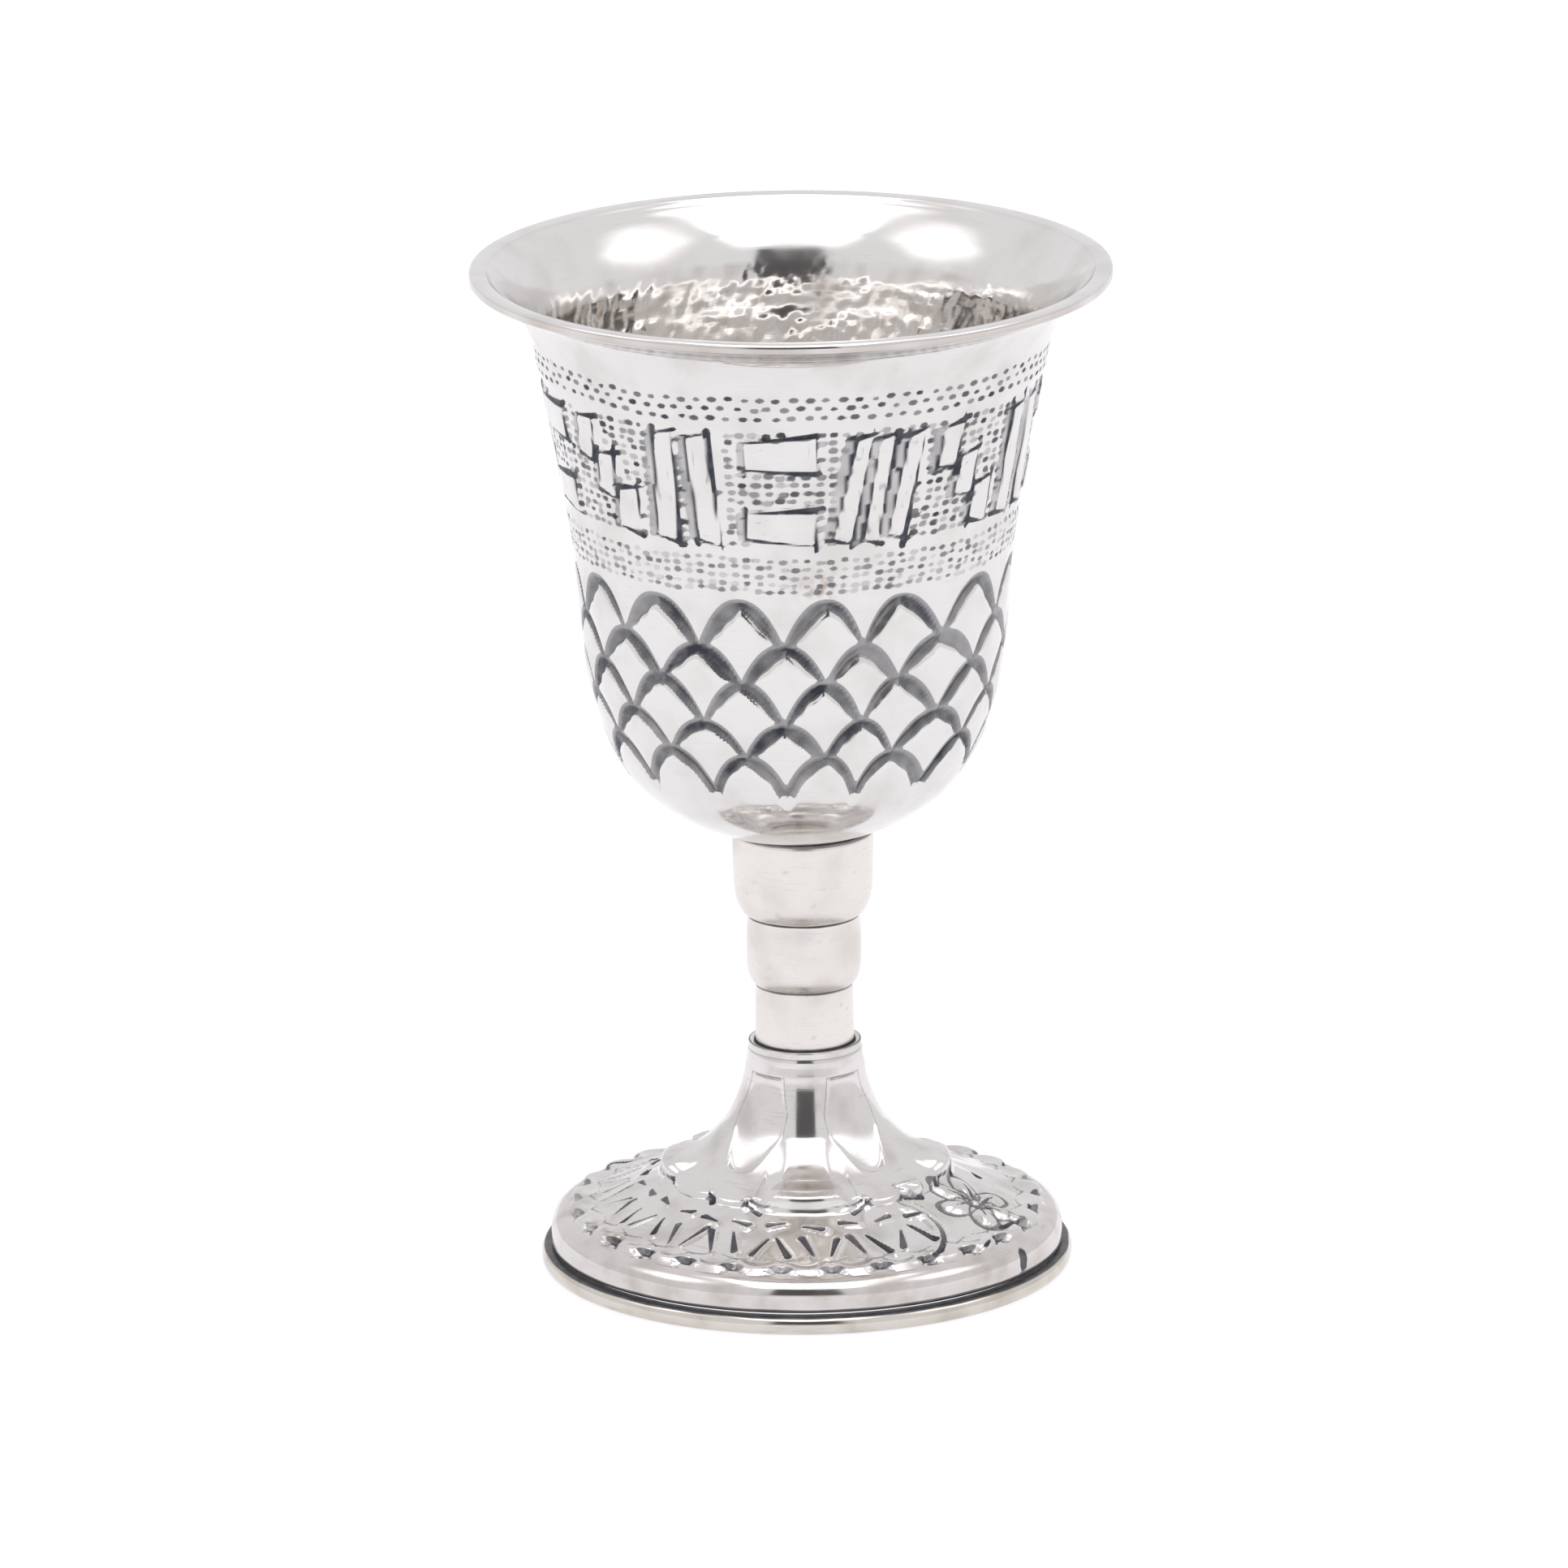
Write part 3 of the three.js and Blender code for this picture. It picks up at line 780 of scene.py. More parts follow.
@dataclass
class BowlChasing:
    """Everything that is chased into the bowl's wall: scales, the inscription band and punched rows."""

    scale_count: int = 15
    scale_rows: tuple[float, ...] = (88.4, 82.9, 78.4, 73.3, 69.0, 64.7)
    first_apex: float = -15.2
    groove: float = 0.5
    full_width: float = 1.6
    pillow: float = 0.16
    apex_width: float = 1.5
    stub: float = 1.5
    # Tone of the mid grey painted on each scale cut's sloping upper side as its shade.
    grey: float = 0.6
    band_bottom: float = 94.3
    band_top: float = 110.0
    band_radius: float = 29.0
    band_depth: float = 0.3
    clearance: float = 0.45
    # Width of the painted shade on the ground beside one side of each stroke.
    shade_width: float = 1.1
    chisel_depth: float = 0.38
    cell_first: float = -2.9
    order: str = "bars slants steps pair bars pair slants steps bars pair steps slants bars steps pair"
    stain_spots: tuple[tuple[float, ...], ...] = (
        (6.5, 90.2, 4.2, 0.8), (-50.0, 113.4, 1.7, 0.5), (-66.0, 114.0, 2.0, 0.5),
    )

    def scales(self, patch: Patch) -> None:
        """Chases staggered rows of scales, each under an arch of two crescent cuts.

        With u the share of half a scale from the apex, a cut's upper edge drops by the row's height times
        u^2.3, and its lower edge by u^1.25 of it, so that the arch is round outside and pointed inside. The
        cut slopes in from its upper edge, where a mid grey is painted as the slope's shade, and ends steeply
        against the pillow below, where it is dark with patina. The last row's cuts end in blunt stubs.

        Args:
            patch: The patch to chase.
        """
        pitch = 360.0 / self.scale_count
        tips = self.scale_rows[-1]
        half_width = np.radians(pitch / 2.0) * patch.radius
        angle = patch.angle - self.drift(patch.angle)
        stray = 0.12 * patch.ripple(61, 70, 3.0)
        streaks = patch.ripple(62, 60, 3.0)
        for row, (apex, foot) in enumerate(zip(self.scale_rows, self.scale_rows[1:])):
            tall, last = apex - foot, foot == tips
            turns = turn(self.first_apex + (row % 2) * pitch / 2.0, angle) / pitch
            scale = np.round(turns).astype(int) % self.scale_count
            share = np.clip(np.abs(turns - np.round(turns)) * 2.0, 0.0, 1.0)
            arm = scale * 2 + (turns > np.round(turns))
            random = np.random.default_rng(50 + row)
            lift = random.uniform(-0.25, 0.25, self.scale_count)[scale]
            fat = random.uniform(0.8, 1.2, 2 * self.scale_count)[arm]
            force = random.uniform(0.72, 1.05, 2 * self.scale_count)[arm]
            upper = apex + lift * (1.0 - share) - tall * share**2.3
            drop = self.apex_width + tall * (share**1.25 - share**2.3)
            drop = drop + self.stub * last * smooth(share, 0.5, 1.0)
            lower = upper - drop * fat + stray
            cosine = 1.0 / np.hypot(1.0, 2.3 * tall * share**1.3 / half_width)
            below, above = (upper - patch.height) * cosine, (patch.height - lower) * cosine
            inside = np.minimum(below, above)
            if last:
                above_stub = patch.height - tips + self.stub + self.stub * (1.0 - share)
                inside = np.minimum(inside, 0.9 * above_stub)
            width = (upper - lower) * cosine
            depth = smooth(below / width, 0.0, 0.75) * smooth(above, -0.1, 0.45)
            patch.sink(self.groove * depth * np.minimum(width, self.full_width) / self.full_width)
            inner = (1.0 - 0.2 * smooth(above, 0.4, 0.0) - 0.12 * share) * force + 0.05 * streaks
            # Painted shade: the sloping upper side of each cut gets the mid grey tone in place of its shade;
            # the steep lower part gets the dark patina tone.
            patch.mark(inside, self.grey + (inner - self.grey) * smooth(below, 0.3, 0.6))
        within = smooth(patch.height, tips - 2.0, tips + 2.0)
        within = within * smooth(patch.height, self.scale_rows[0] + 0.5, self.scale_rows[0] - 1.0)
        patch.lift(within * smooth(-patch.edge, 0.0, 1.0), self.pillow)
        patch.lift(patch.ripple(3, 40, 7.0), 0.02)
        self.tarnish(patch)

    def tarnish(self, patch: Patch) -> None:
        """Stains the wall above the scales at the front, and in two small spots by the punched rows.

        Args:
            patch: The patch to stain.
        """
        patches = smooth(patch.ripple(90, 170, 1.3), -0.4, 1.4)
        for place, level, wide, strength in self.stain_spots:
            spot = (turn(place, patch.angle) / wide) ** 2 + ((patch.height - level) / (0.36 * wide)) ** 2
            patch.soil(strength * np.exp(-spot) * patches)

    @staticmethod
    def drift(angle: Grid) -> Grid:
        """How far the hand strayed round the bowl: scales crowd right of the front and spread left of it."""
        right = -4.0 * np.exp(-((turn(30.0, angle) / 15.0) ** 2))
        return right + 1.1 * np.exp(-((turn(-26.0, angle) / 18.0) ** 2))

    def strokes(self) -> list[tuple[float, Stroke]]:
        """Sets the groups of strokes round the band in their order.

        Returns:
            Each stroke with its group's middle angle.
        """
        names = self.order.upper().split()
        places = self.cell_first + np.arange(len(names)) * (360.0 / len(names))
        return [(place, stroke) for place, name in zip(places, names) for stroke in StrokeGroup[name].value]

    @property
    def band_middle(self) -> float:
        """The height of the band's middle."""
        return (self.band_bottom + self.band_top) / 2.0

    def gap_to_strokes(self, patch: Patch) -> Grid:
        """Measures to the band's strokes.

        Args:
            patch: The places to measure from.

        Returns:
            The distance outside the nearest stroke in mm, negative on one.
        """
        gaps = [
            inside_polygon(patch.across(place), patch.height - self.band_middle, stroke.corners())
            for place, stroke in self.strokes()
        ]
        return np.minimum.reduce(gaps)

    def clear(self, places: Grid, levels: Grid) -> Grid:
        """Whether punch marks at these angles and heights keep clear of every stroke."""
        return self.gap_to_strokes(Patch(places, np.array(self.band_radius), levels)) > self.clearance

    def ground(self) -> Punches:
        """The punched ground between the strokes."""
        rows = [self.band_top - 0.8 - 1.05 * row for row in range(14)]
        return Punches(rows, 116, 0.56, 0.34, 0.24, 0.12, stray=0.3, seed=21, power=2.6, tones=(0.3, 1.0))

    @staticmethod
    def rows() -> list[Punches]:
        """Lists the punched rows.

        Returns:
            Those above the band, and those below it.
        """
        high, low = [113.6, 112.5, 111.3], [93.4, 92.4, 91.4, 90.4, 89.5]
        return [
            Punches(high, 99, 0.55, 0.32, 0.24, stray=0.26, seed=31, sway=0.25, tones=(0.65, 1.0)),
            Punches(low, 116, 0.53, 0.31, 0.22, 0.1, stray=0.3, seed=41, sway=0.2, tones=(0.15, 0.85)),
        ]

    def band(self, patch: Patch) -> None:
        """Chases the inscription band: strokes stand level with the wall on a sunk, punched ground, with
        painted shade beside one side of each stroke.

        Args:
            patch: The patch to chase.
        """
        gap = self.gap_to_strokes(patch)
        inside = smooth(patch.height, self.band_bottom - 1.6, self.band_bottom + 0.8)
        inside = inside * smooth(patch.height, self.band_top + 1.6, self.band_top - 0.8)
        self.ground().strike(patch, self.clear)
        patch.sunk = patch.sunk + self.band_depth * inside * smooth(gap, -0.1, 0.6)
        for rows in self.rows():
            rows.strike(patch)
        self.chisel(patch)
        # Painted shade: a grey band on the sunk ground beside one side of each stroke, standing in for the
        # shade of its steep side.
        shifted = patch.angle + np.degrees(self.shade_width / patch.radius)
        beside = self.gap_to_strokes(Patch(shifted, patch.radius, patch.height))
        patch.mark(np.minimum(np.minimum(-beside, gap), 0.12), 0.36 + 0.12 * patch.ripple(7, 40, 5.0))
        fold = patch.ripple(10, 50, 6.0)
        patch.mark(0.04 - np.abs(gap + 0.8 + 0.2 * fold), 0.45 * smooth(fold, -0.2, 0.6))
        patch.lift(smooth(gap, 0.0, -0.6) * patch.ripple(6, 60, 5.0), 0.035)
        patch.lift(patch.ripple(5, 30, 8.0), 0.025)
        self.tarnish(patch)

    def chisel(self, patch: Patch) -> None:
        """Cuts each stroke's outline: four wedge cuts that run a little past its corners.

        Args:
            patch: The patch to chase.
        """
        random = np.random.default_rng(9)
        for place, stroke in self.strokes():
            across, up = patch.across(place), patch.height - self.band_middle
            corners = stroke.corners()
            for start, end in zip(corners, np.roll(corners, -1, axis=0)):
                way = (end - start) / np.hypot(*(end - start))
                past = random.uniform(0.1, 0.9, 2)
                wide, narrow = random.uniform(0.24, 0.5), random.uniform(0.05, 0.13)
                stray = random.normal(0.0, 0.12, (2, 2))
                ends = [start - way * past[0] + stray[0], end + way * past[1] + stray[1]]
                if random.random() < 0.5:
                    ends.reverse()
                patch.cut(wedge(across, up, *ends, wide, narrow), wide, self.chisel_depth, 1.0)

    def inside(self, patch: Patch) -> None:
        """Works the inside of the wall: every mark struck outside stands out here as a soft bump.

        Args:
            patch: The patch to work.
        """
        bumps = patch.again()
        for rows, allowed in zip((self.ground(), *self.rows()), (self.clear, None, None)):
            softer = replace(rows, half_width=0.6, half_height=0.44, depth=0.16, power=2.0, stray=0.6)
            softer.strike(bumps, allowed)
        gap = np.abs(self.gap_to_strokes(patch))
        upright = smooth(patch.ripple(11, 70, 9.0), -0.6, 0.6)
        patch.lift(0.7 * bumps.sunk + 0.06 * upright * smooth(gap, 0.7, 0.0), 1.0)
        patch.lift(patch.ripple(8, 130, 1.8), 0.035)
        patch.soil(0.06 + 0.2 * smooth(patch.ripple(9, 60, 4.0), -0.2, 1.5))

    def inside_scales(self, patch: Patch) -> None:
        """Works the inside of the scales, where their cuts stand out as soft ridges.

        Args:
            patch: The patch to work.
        """
        outside = patch.again()
        self.scales(outside)
        patch.lift(outside.sunk, 0.8)


@dataclass
class Bowl(Part):
    """The chased bowl: one sheet raised to a bell, with a folded lip, its relief showing inside too."""

    node: str = "bowl"
    slot: str = "chased_silver"
    finish: SilverFinish = CHASED
    wall: float = 0.7
    knots: tuple[Pair, ...] = (
        (0, 52.9), (8.25, 53.6), (13.2, 55.6), (18, 59), (21.1, 62.8), (23.8, 70.3), (25, 76.8),
        (25.9, 87.2), (28, 99.2), (30, 110.2), (31.1, 115.2), (33.6, 119.2), (36.9, 120.8),
    )
    lip_inner: float = 35.8
    fold_line: float = 121.08
    fold_stain: Pair = (122.2, 121.9)
    scales_from: float = 60.4
    band_from: float = 88.9
    band_to: float = 114.6
    inside_levels: tuple[float, ...] = (61.0, 89.0, 99.0, 115.0)
    chasing: BowlChasing = field(default_factory=BowlChasing)

    def build(self) -> bpy.types.Object:
        """Turns the outside from its pole up, over the lip, and down the inside to its pole.

        Returns:
            The bowl.
        """
        outer = Outline.through(self.knots)
        rim, _, top = self.span()
        marks = [outer.run_at_height(height) for height in (self.scales_from, self.band_from, self.band_to)]
        lip = np.array([
            [rim - 0.62, top - 1.27], [rim - 0.4, top - 1.17], [rim - 0.12, top - 1.12], [rim, top - 0.95],
            [rim, top - 0.3], [rim - 0.1, top - 0.1], [rim - 0.35, top], [rim - 1.0, top],
            [self.lip_inner + 0.35, top - 0.06], [self.lip_inner + 0.1, top - 0.2],
        ])
        inner = self._inside(outer, top)
        runs = [inner.run_at_height(height) for height in self.inside_levels]
        chasing = self.chasing
        stretches = [
            Stretch(outer.at(np.array([0.0])), 1),
            Stretch(outer.between(2.0, 9.0, 1.4), 60),
            Stretch(outer.between(9.0, marks[0], 0.9), 150),
            Stretch(outer.between(marks[0], marks[1], 0.35), 400, chasing.scales),
            Stretch(outer.between(marks[1], marks[2], 0.3), 400, chasing.band),
            Stretch(outer.between(marks[2], outer.run[-1], 0.7), 240),
            Stretch(lip, 240, self._fold),
            Stretch(inner.between(inner.run[-1], runs[3], 0.7), 240),
            Stretch(inner.between(runs[3], runs[2], 0.42), 340, chasing.inside),
            Stretch(inner.between(runs[2], runs[1], 0.8), 150, chasing.inside),
            Stretch(inner.between(runs[1], runs[0], 1.0), 120, chasing.inside_scales),
            Stretch(inner.between(runs[0], 2.0, 1.6), 72),
            Stretch(inner.at(np.array([0.0])), 1),
        ]
        return self.turned("chased", stretches)

    def _inside(self, outer: Outline, lip_top: float) -> Outline:
        """Moves the outside in by the wall, and carries it up to the lip's inner edge.

        Args:
            outer: The outside, from its pole up.
            lip_top: The lip's height.

        Returns:
            The inside wall, from its pole up.
        """
        moved = outer.moved(self.wall).points
        moved[0, 0] = 0.0
        kept = moved[moved[:, 1] < 119.4]
        coarse = kept[:: len(kept) // 40]
        return Outline.through([*coarse, (34.5, 121.15), (self.lip_inner, lip_top - 0.4)], 20)

    def _fold(self, patch: Patch) -> None:
        """Leaves tarnish on the lip's folded edge, and a thin line where it lies on the flare.

        Args:
            patch: The patch to mark.
        """
        patch.mark(0.08 - np.abs(patch.height - self.fold_line), 0.2 + 0.12 * patch.ripple(14, 30, 50.0))
        uneven = smooth(patch.ripple(93, 24, 50.0, 0.0), -3.0, 1.0)
        patch.soil(0.34 * smooth(patch.height, *self.fold_stain) * uneven)


# ---- Stem -----------------------------------------------------------------------------------


@dataclass
class Stem(Part):
    """The spun stem: three tube sections, each rounded in at its lower end over the next."""

    node: str = "stem"
    slot: str = "spun_silver"
    finish: SilverFinish = SPUN
    wall: float = 0.7
    low_radius: float = 5.87
    mid_radius: float = 6.85
    top_radius: float = 8.45
    low_seam: float = 34.4
    mid_seam: float = 43.0
    step: float = 0.12
    mid_knots: tuple[Pair, ...] = ((6.28, 34.9), (6.7, 36.0), (6.85, 38.0), (6.83, 40.7))
    top_knots: tuple[Pair, ...] = ((7.3, 43.5), (7.98, 44.9), (8.28, 46.8), (8.36, 49.8))
    solder: float = 0.28
    foot_joint: float = 27.55

    def build(self) -> bpy.types.Object:
        """Turns the outside up and the inside down.

        Returns:
            The stem.
        """
        _, bottom, top = self.span()
        sections = (
            ((self.low_radius, bottom), (self.low_radius, 30.3), (5.8, self.low_seam - self.step)),
            ((5.86, self.low_seam), *self.mid_knots, (6.62, self.mid_seam - self.step)),
            ((6.7, self.mid_seam), *self.top_knots, (self.top_radius, top - 0.25)),
        )
        rows = []
        for knots in sections:
            line = Outline.through(knots)
            rows.extend((line.between(0.0, line.run[-1], 0.35), line.points[-1:]))
        rows.append([[self.top_radius - 0.12, top], [self.top_radius - 0.3, top + self.solder]])
        wall = self.wall
        inside = [
            (self.top_radius - wall, top), (self.top_radius - wall, self.mid_seam + 4.0),
            (self.mid_radius - wall, self.mid_seam), (self.mid_radius - wall, self.low_seam + 3.0),
            (self.low_radius - wall, self.low_seam), (self.low_radius - wall, bottom),
        ]
        stretches = [Stretch(np.vstack(rows), 160, self._seams), Stretch(np.array(inside), 48)]
        return self.turned("spun", stretches, looped=True)

    def _seams(self, patch: Patch) -> None:
        """Paints dark shadow lines where one section ends on the next and on the solder joint under the bowl,
        and leaves a dark line at the solder joint with the foot.

        Args:
            patch: The patch to mark.
        """
        top_joint = self.span()[2] - 0.1
        uneven = 0.05 * patch.ripple(13, 9, 50.0, 0.0)
        # Painted shadow: dark lines at the two steps, where each section's rounded end overhangs the next.
        for seam, tone in ((self.low_seam, 0.75), (self.mid_seam, 0.95)):
            patch.mark(0.17 + uneven - np.abs(patch.height - seam + 0.02), tone)
        patch.mark(self.foot_joint - patch.height, 0.9)
        # Painted shadow: a dark band on the solder joint at the top, under the bowl.
        patch.mark(patch.height - top_joint + uneven, 0.7)
        patch.lift(patch.ripple(12, 6, 9.0), 0.014)
        patch.soil(0.25 * smooth(patch.ripple(92, 30, 1.2), 1.3, 2.4))


# ---- Foot -----------------------------------------------------------------------------------


@dataclass
class FootChasing:
    """The foot's relief: ribs and flutes down the neck, lobes, an inscription panel, flowers and scallops."""

    rib_angles: tuple[float, ...] = (0.0, 90.0, 180.0, 270.0)
    rib_height: float = 1.1
    flute_angles: tuple[float, ...] = (-41.0, 41.0, 139.0, -139.0)
    flute_depth: float = 0.5
    flute_top: float = 24.3
    lobe_ends: tuple[float, ...] = (24.4, 42.0, 72.0, 108.0, 138.0, 155.6)
    lobe_radius: float = 16.9
    panel: Pair = (-132.0, 44.5)
    panel_middle: float = 21.3
    stroke_rows: tuple[tuple[float, ...], ...] = ((19.4, 12.6, 1.05, 0.2), (22.9, 7.3, 1.75, 2.2))
    scallops: int = 29
    cusp: float = -56.0
    cusp_radius: float = 26.9
    flowers: tuple[float, ...] = (68.5, 195.0)
    flower_radius: float = 21.6
    petals: int = 6
    pits: tuple[Place, ...] = (
        (14.8, 17.1, 0.75), (-2.7, 16.7, 0.65), (27.9, 20.4, 0.7), (12.6, 27.0, 0.65), (-18.6, 28.0, 0.6),
    )

    def chase(self, patch: Patch) -> None:
        """Works the whole stamped dome, in the order in which the punches are set.

        Args:
            patch: The patch to chase.
        """
        self._ribs(patch)
        self._flutes(patch)
        self._lobes(patch)
        self._scallops(patch)
        self._strokes(patch)
        for end, way in zip(self.panel, (-1.0, 1.0)):
            self._bracket(patch, end, way)
        for place in self.flowers:
            self._flower(patch, place)
        self._sprigs(patch)
        patch.lift(patch.ripple(15, 30, 5.0, patch.radius) * smooth(patch.radius, 16.5, 18.0), 0.05)
        spot = np.exp(-((turn(-60.0, patch.angle) / 16.0) ** 2) - ((patch.radius - 26.9) / 0.7) ** 2)
        patch.soil(0.75 * spot * smooth(patch.ripple(91, 140, 1.5, patch.radius), -0.6, 1.0))

    def _ribs(self, patch: Patch) -> None:
        """Raises four flat-topped ribs that widen down the neck, and fall away at its lobes.

        Args:
            patch: The patch to chase.
        """
        half = np.interp(patch.radius, (9.0, 10.7, 15.7), (1.4, 1.9, 3.1))
        rise = np.clip((patch.radius - 9.4) / 6.0, 0.0, 1.0) * smooth(patch.radius, 17.9, 16.2)
        for place in self.rib_angles:
            patch.lift(rise * smooth(np.abs(patch.across(place)) - half, 2.6, 0.0), self.rib_height)

    def _flutes(self, patch: Patch) -> None:
        """Presses tongue-shaped flutes: flat at the top, round-pointed below, hollowed like a spoon.

        Args:
            patch: The patch to chase.
        """
        widths = {7.0: 20.5, 8.1: 26.0, 9.3: 24.0, 10.1: 19.0, 11.2: 14.0, 12.2: 9.0, 12.6: 5.0, 12.8: 0.0}
        half = np.radians(np.interp(patch.radius, list(widths), list(widths.values()))) * patch.radius
        for place in self.flute_angles:
            across = np.abs(patch.across(place))
            inside = np.minimum(half - across, self.flute_top - patch.height)
            spoon = np.clip(1.0 - (across / np.maximum(half, 0.05)) ** 2, 0.0, 1.0)
            hollow = spoon**0.7 * smooth(half, 0.0, 2.2)
            patch.sink(self.flute_depth * hollow * smooth(inside, -0.02, 0.5))
            patch.mark(0.07 - np.abs(inside - 0.05), 0.3 + 0.2 * smooth(patch.height, 14.0, 20.0))

    def _lobes(self, patch: Patch) -> None:
        """Ends the smooth dome in lobes: each swells to a round edge and drops steeply in front of it.

        Args:
            patch: The patch to chase.
        """
        ends = np.array([-self.lobe_ends[0], *self.lobe_ends, 360.0 - self.lobe_ends[-1]])
        off = np.abs(turn(0.0, patch.angle))
        lobe = np.searchsorted(ends, off, side="right") - 1
        middle, half = (ends[lobe] + ends[lobe + 1]) / 2.0, (ends[lobe + 1] - ends[lobe]) / 2.0
        share = np.abs(off - middle) / half
        over = patch.radius - (self.lobe_radius - 0.045 * half * share**2.2)
        patch.lift(smooth(over, 0.35, -0.15) * smooth(over, -4.0, -0.6), 0.42)
        patch.lift(smooth(over, 0.4, -0.2), 0.15)
        line = 0.05 + 0.2 * share**4 + 0.04 * patch.ripple(16, 40, 50.0, 0.0)
        patch.mark(line - np.abs(over - 0.35), 0.6 + 0.4 * share**4)

    def _scallops(self, patch: Patch) -> None:
        """Ends the chased ground in scallops: each swells over the plain border, with a pit at its foot.

        Args:
            patch: The patch to chase.
        """
        pitch = 360.0 / self.scallops
        turns = turn(self.cusp, patch.angle) / pitch
        share = np.abs((turns % 1.0) - 0.5) * 2.0
        place = np.floor(turns).astype(int) % self.scallops
        random = np.random.default_rng(33)
        reach = random.uniform(1.3, 2.2, self.scallops)[place]
        tone = random.uniform(0.45, 1.0, self.scallops)[place]
        over = patch.radius - (self.cusp_radius + reach * (1.0 - share**2))
        patch.lift(smooth(over, 0.35, -0.25) * smooth(over, -2.6, -0.7) * (1.0 - 0.7 * share**2), 0.75)
        across = (1.0 - share) * np.radians(pitch / 2.0) * patch.radius
        pit = oval(across, patch.radius - self.cusp_radius - 0.35 - 0.25 * across, 1.5, 0.5)
        patch.cut(pit, 0.4, 0.35, tone)
        patch.mark(0.1 + 0.1 * patch.ripple(17, 60, 50.0, 0.0) - np.abs(over - 0.3), 0.6 * tone)
        inner = patch.radius - (self.cusp_radius - 1.9 + 0.9 * share**1.5)
        patch.cut(0.16 * (0.3 + share) - np.abs(inner), 0.2, 0.14, 0.55 * tone)

    def _strokes(self, patch: Patch) -> None:
        """Cuts two rows of separate wedges, flat above and leaning below, each with a raised lower lip.

        Args:
            patch: The patch to chase.
        """
        random = np.random.default_rng(77)
        first, last = self.panel
        for row, (out, pitch, half, slope) in enumerate(self.stroke_rows):
            for number, place in enumerate(np.arange(first + 8.0, last - 4.0 - 3.0 * row, pitch)):
                way = math.atan(slope * random.uniform(0.8, 1.2)) * (1.0 if number % 3 else -1.0)
                run = half * random.uniform(0.85, 1.15)
                end = np.array((math.cos(way), math.sin(way))) * run * (1.0 if number % 2 else -1.0)
                across = patch.across(place + random.uniform(-0.8, 0.8))
                down = patch.radius - out - random.uniform(-0.3, 0.3)
                patch.lift(smooth(wedge(across - 0.35, down - 0.4, -end, end, 0.75, 0.4), 0.0, 0.4), 0.18)
                patch.cut(wedge(across, down, -end, end, 0.46, 0.17), 0.46, 0.42, random.uniform(0.8, 1.0))

    def _bracket(self, patch: Patch, end: float, way: float) -> None:
        """Cuts the bow that closes the panel: thin by the neck, broad and dark at the rim.

        Args:
            patch: The patch to chase.
            end: The panel's end, as an angle.
            way: 1 where the bow bulges to the right, -1 where it bulges to the left.
        """
        off = patch.radius - self.panel_middle
        across = np.abs(patch.across(end - way * 0.3 * off**2)) / (1.0 + 0.02 * off**2)
        half = 0.12 + 0.3 * smooth(patch.radius, 18.0, 27.0)
        inside = np.minimum(half - across, np.minimum(patch.radius - 17.2, 27.5 - patch.radius))
        ends = smooth(patch.radius, 17.0, 19.0) * smooth(patch.radius, 28.0, 26.0)
        patch.lift(smooth(across, 1.6, 0.5) * ends, 0.28)
        patch.cut(inside, 0.3, 0.36, 0.55 + 0.45 * smooth(patch.radius, 20.0, 27.0))

    def _flower(self, patch: Patch, place: float) -> None:
        """Raises petals round a small boss, each outlined by a thin cut, with a short cut up its middle.

        Args:
            patch: The patch to chase.
            place: The flower's angle.
        """
        across, down = patch.across(place), patch.radius - self.flower_radius
        random = np.random.default_rng(5)
        for petal in range(self.petals):
            way = math.radians(360.0 / self.petals * petal + 17.0 + random.uniform(-5.0, 5.0))
            along = across * math.cos(way) + down * math.sin(way)
            aside = down * math.cos(way) - across * math.sin(way)
            inside = oval(along - 3.15, aside, 2.5, 1.55, 2.3)
            patch.lift(smooth(inside, -0.1, 1.1), 0.5)
            patch.cut(0.13 + 0.1 * smooth(along, 2.0, 5.0) - np.abs(inside), 0.2, 0.2, 0.75)
            patch.cut(wedge(along, aside, (1.3, 0.15), (3.6, 0.0), 0.24, 0.08), 0.24, 0.25, 0.9)
        patch.lift(smooth(oval(across, down, 0.8, 0.8), 0.0, 0.6), 0.3)
        patch.cut(wedge(across, down, (-2.8, 4.6), (1.2, 5.7), 0.5, 0.2), 0.5, 0.4, 1.0)

    def _sprigs(self, patch: Patch) -> None:
        """Sets curls and drops between the lobes and the panel, and small pits round the flowers.

        Args:
            patch: The patch to chase.
        """
        down = patch.radius - 16.6
        for back in (0.0, 180.0):
            for side in (-1.0, 1.0):
                across = side * patch.across(back + side * 24.4)
                patch.lift(smooth(oval(across, down, 1.15, 0.95), -0.1, 0.7), 0.45)
                patch.cut(wedge(across, down, (-1.9, 1.15), (0.9, -0.1), 0.33, 0.08), 0.33, 0.35, 0.9)
            drop = wedge(across, down, (8.0, -0.4), (4.9, -1.3), 1.0, 0.3)
            patch.lift(smooth(drop, 0.0, 0.7), 0.5)
            patch.cut(0.1 - np.abs(drop), 0.12, 0.12, 0.5)
            patch.cut(wedge(across, down, (8.4, 0.9), (5.6, 0.4), 0.4, 0.1), 0.4, 0.3, 1.0)
            across = patch.across(back - 42.0)
            patch.cut(wedge(across, patch.radius - 16.5, (0.3, 0.5), (-0.9, -0.4), 0.5, 0.08), 0.5, 0.3, 1.0)
        for flower in self.flowers:
            for off, out, size in self.pits:
                across, down = patch.across(flower + off), patch.radius - out
                patch.cut(wedge(across, down, (-0.5, 0.3), (0.7, -0.4), size * 0.75, 0.1), 0.5, 0.35, 1.0)


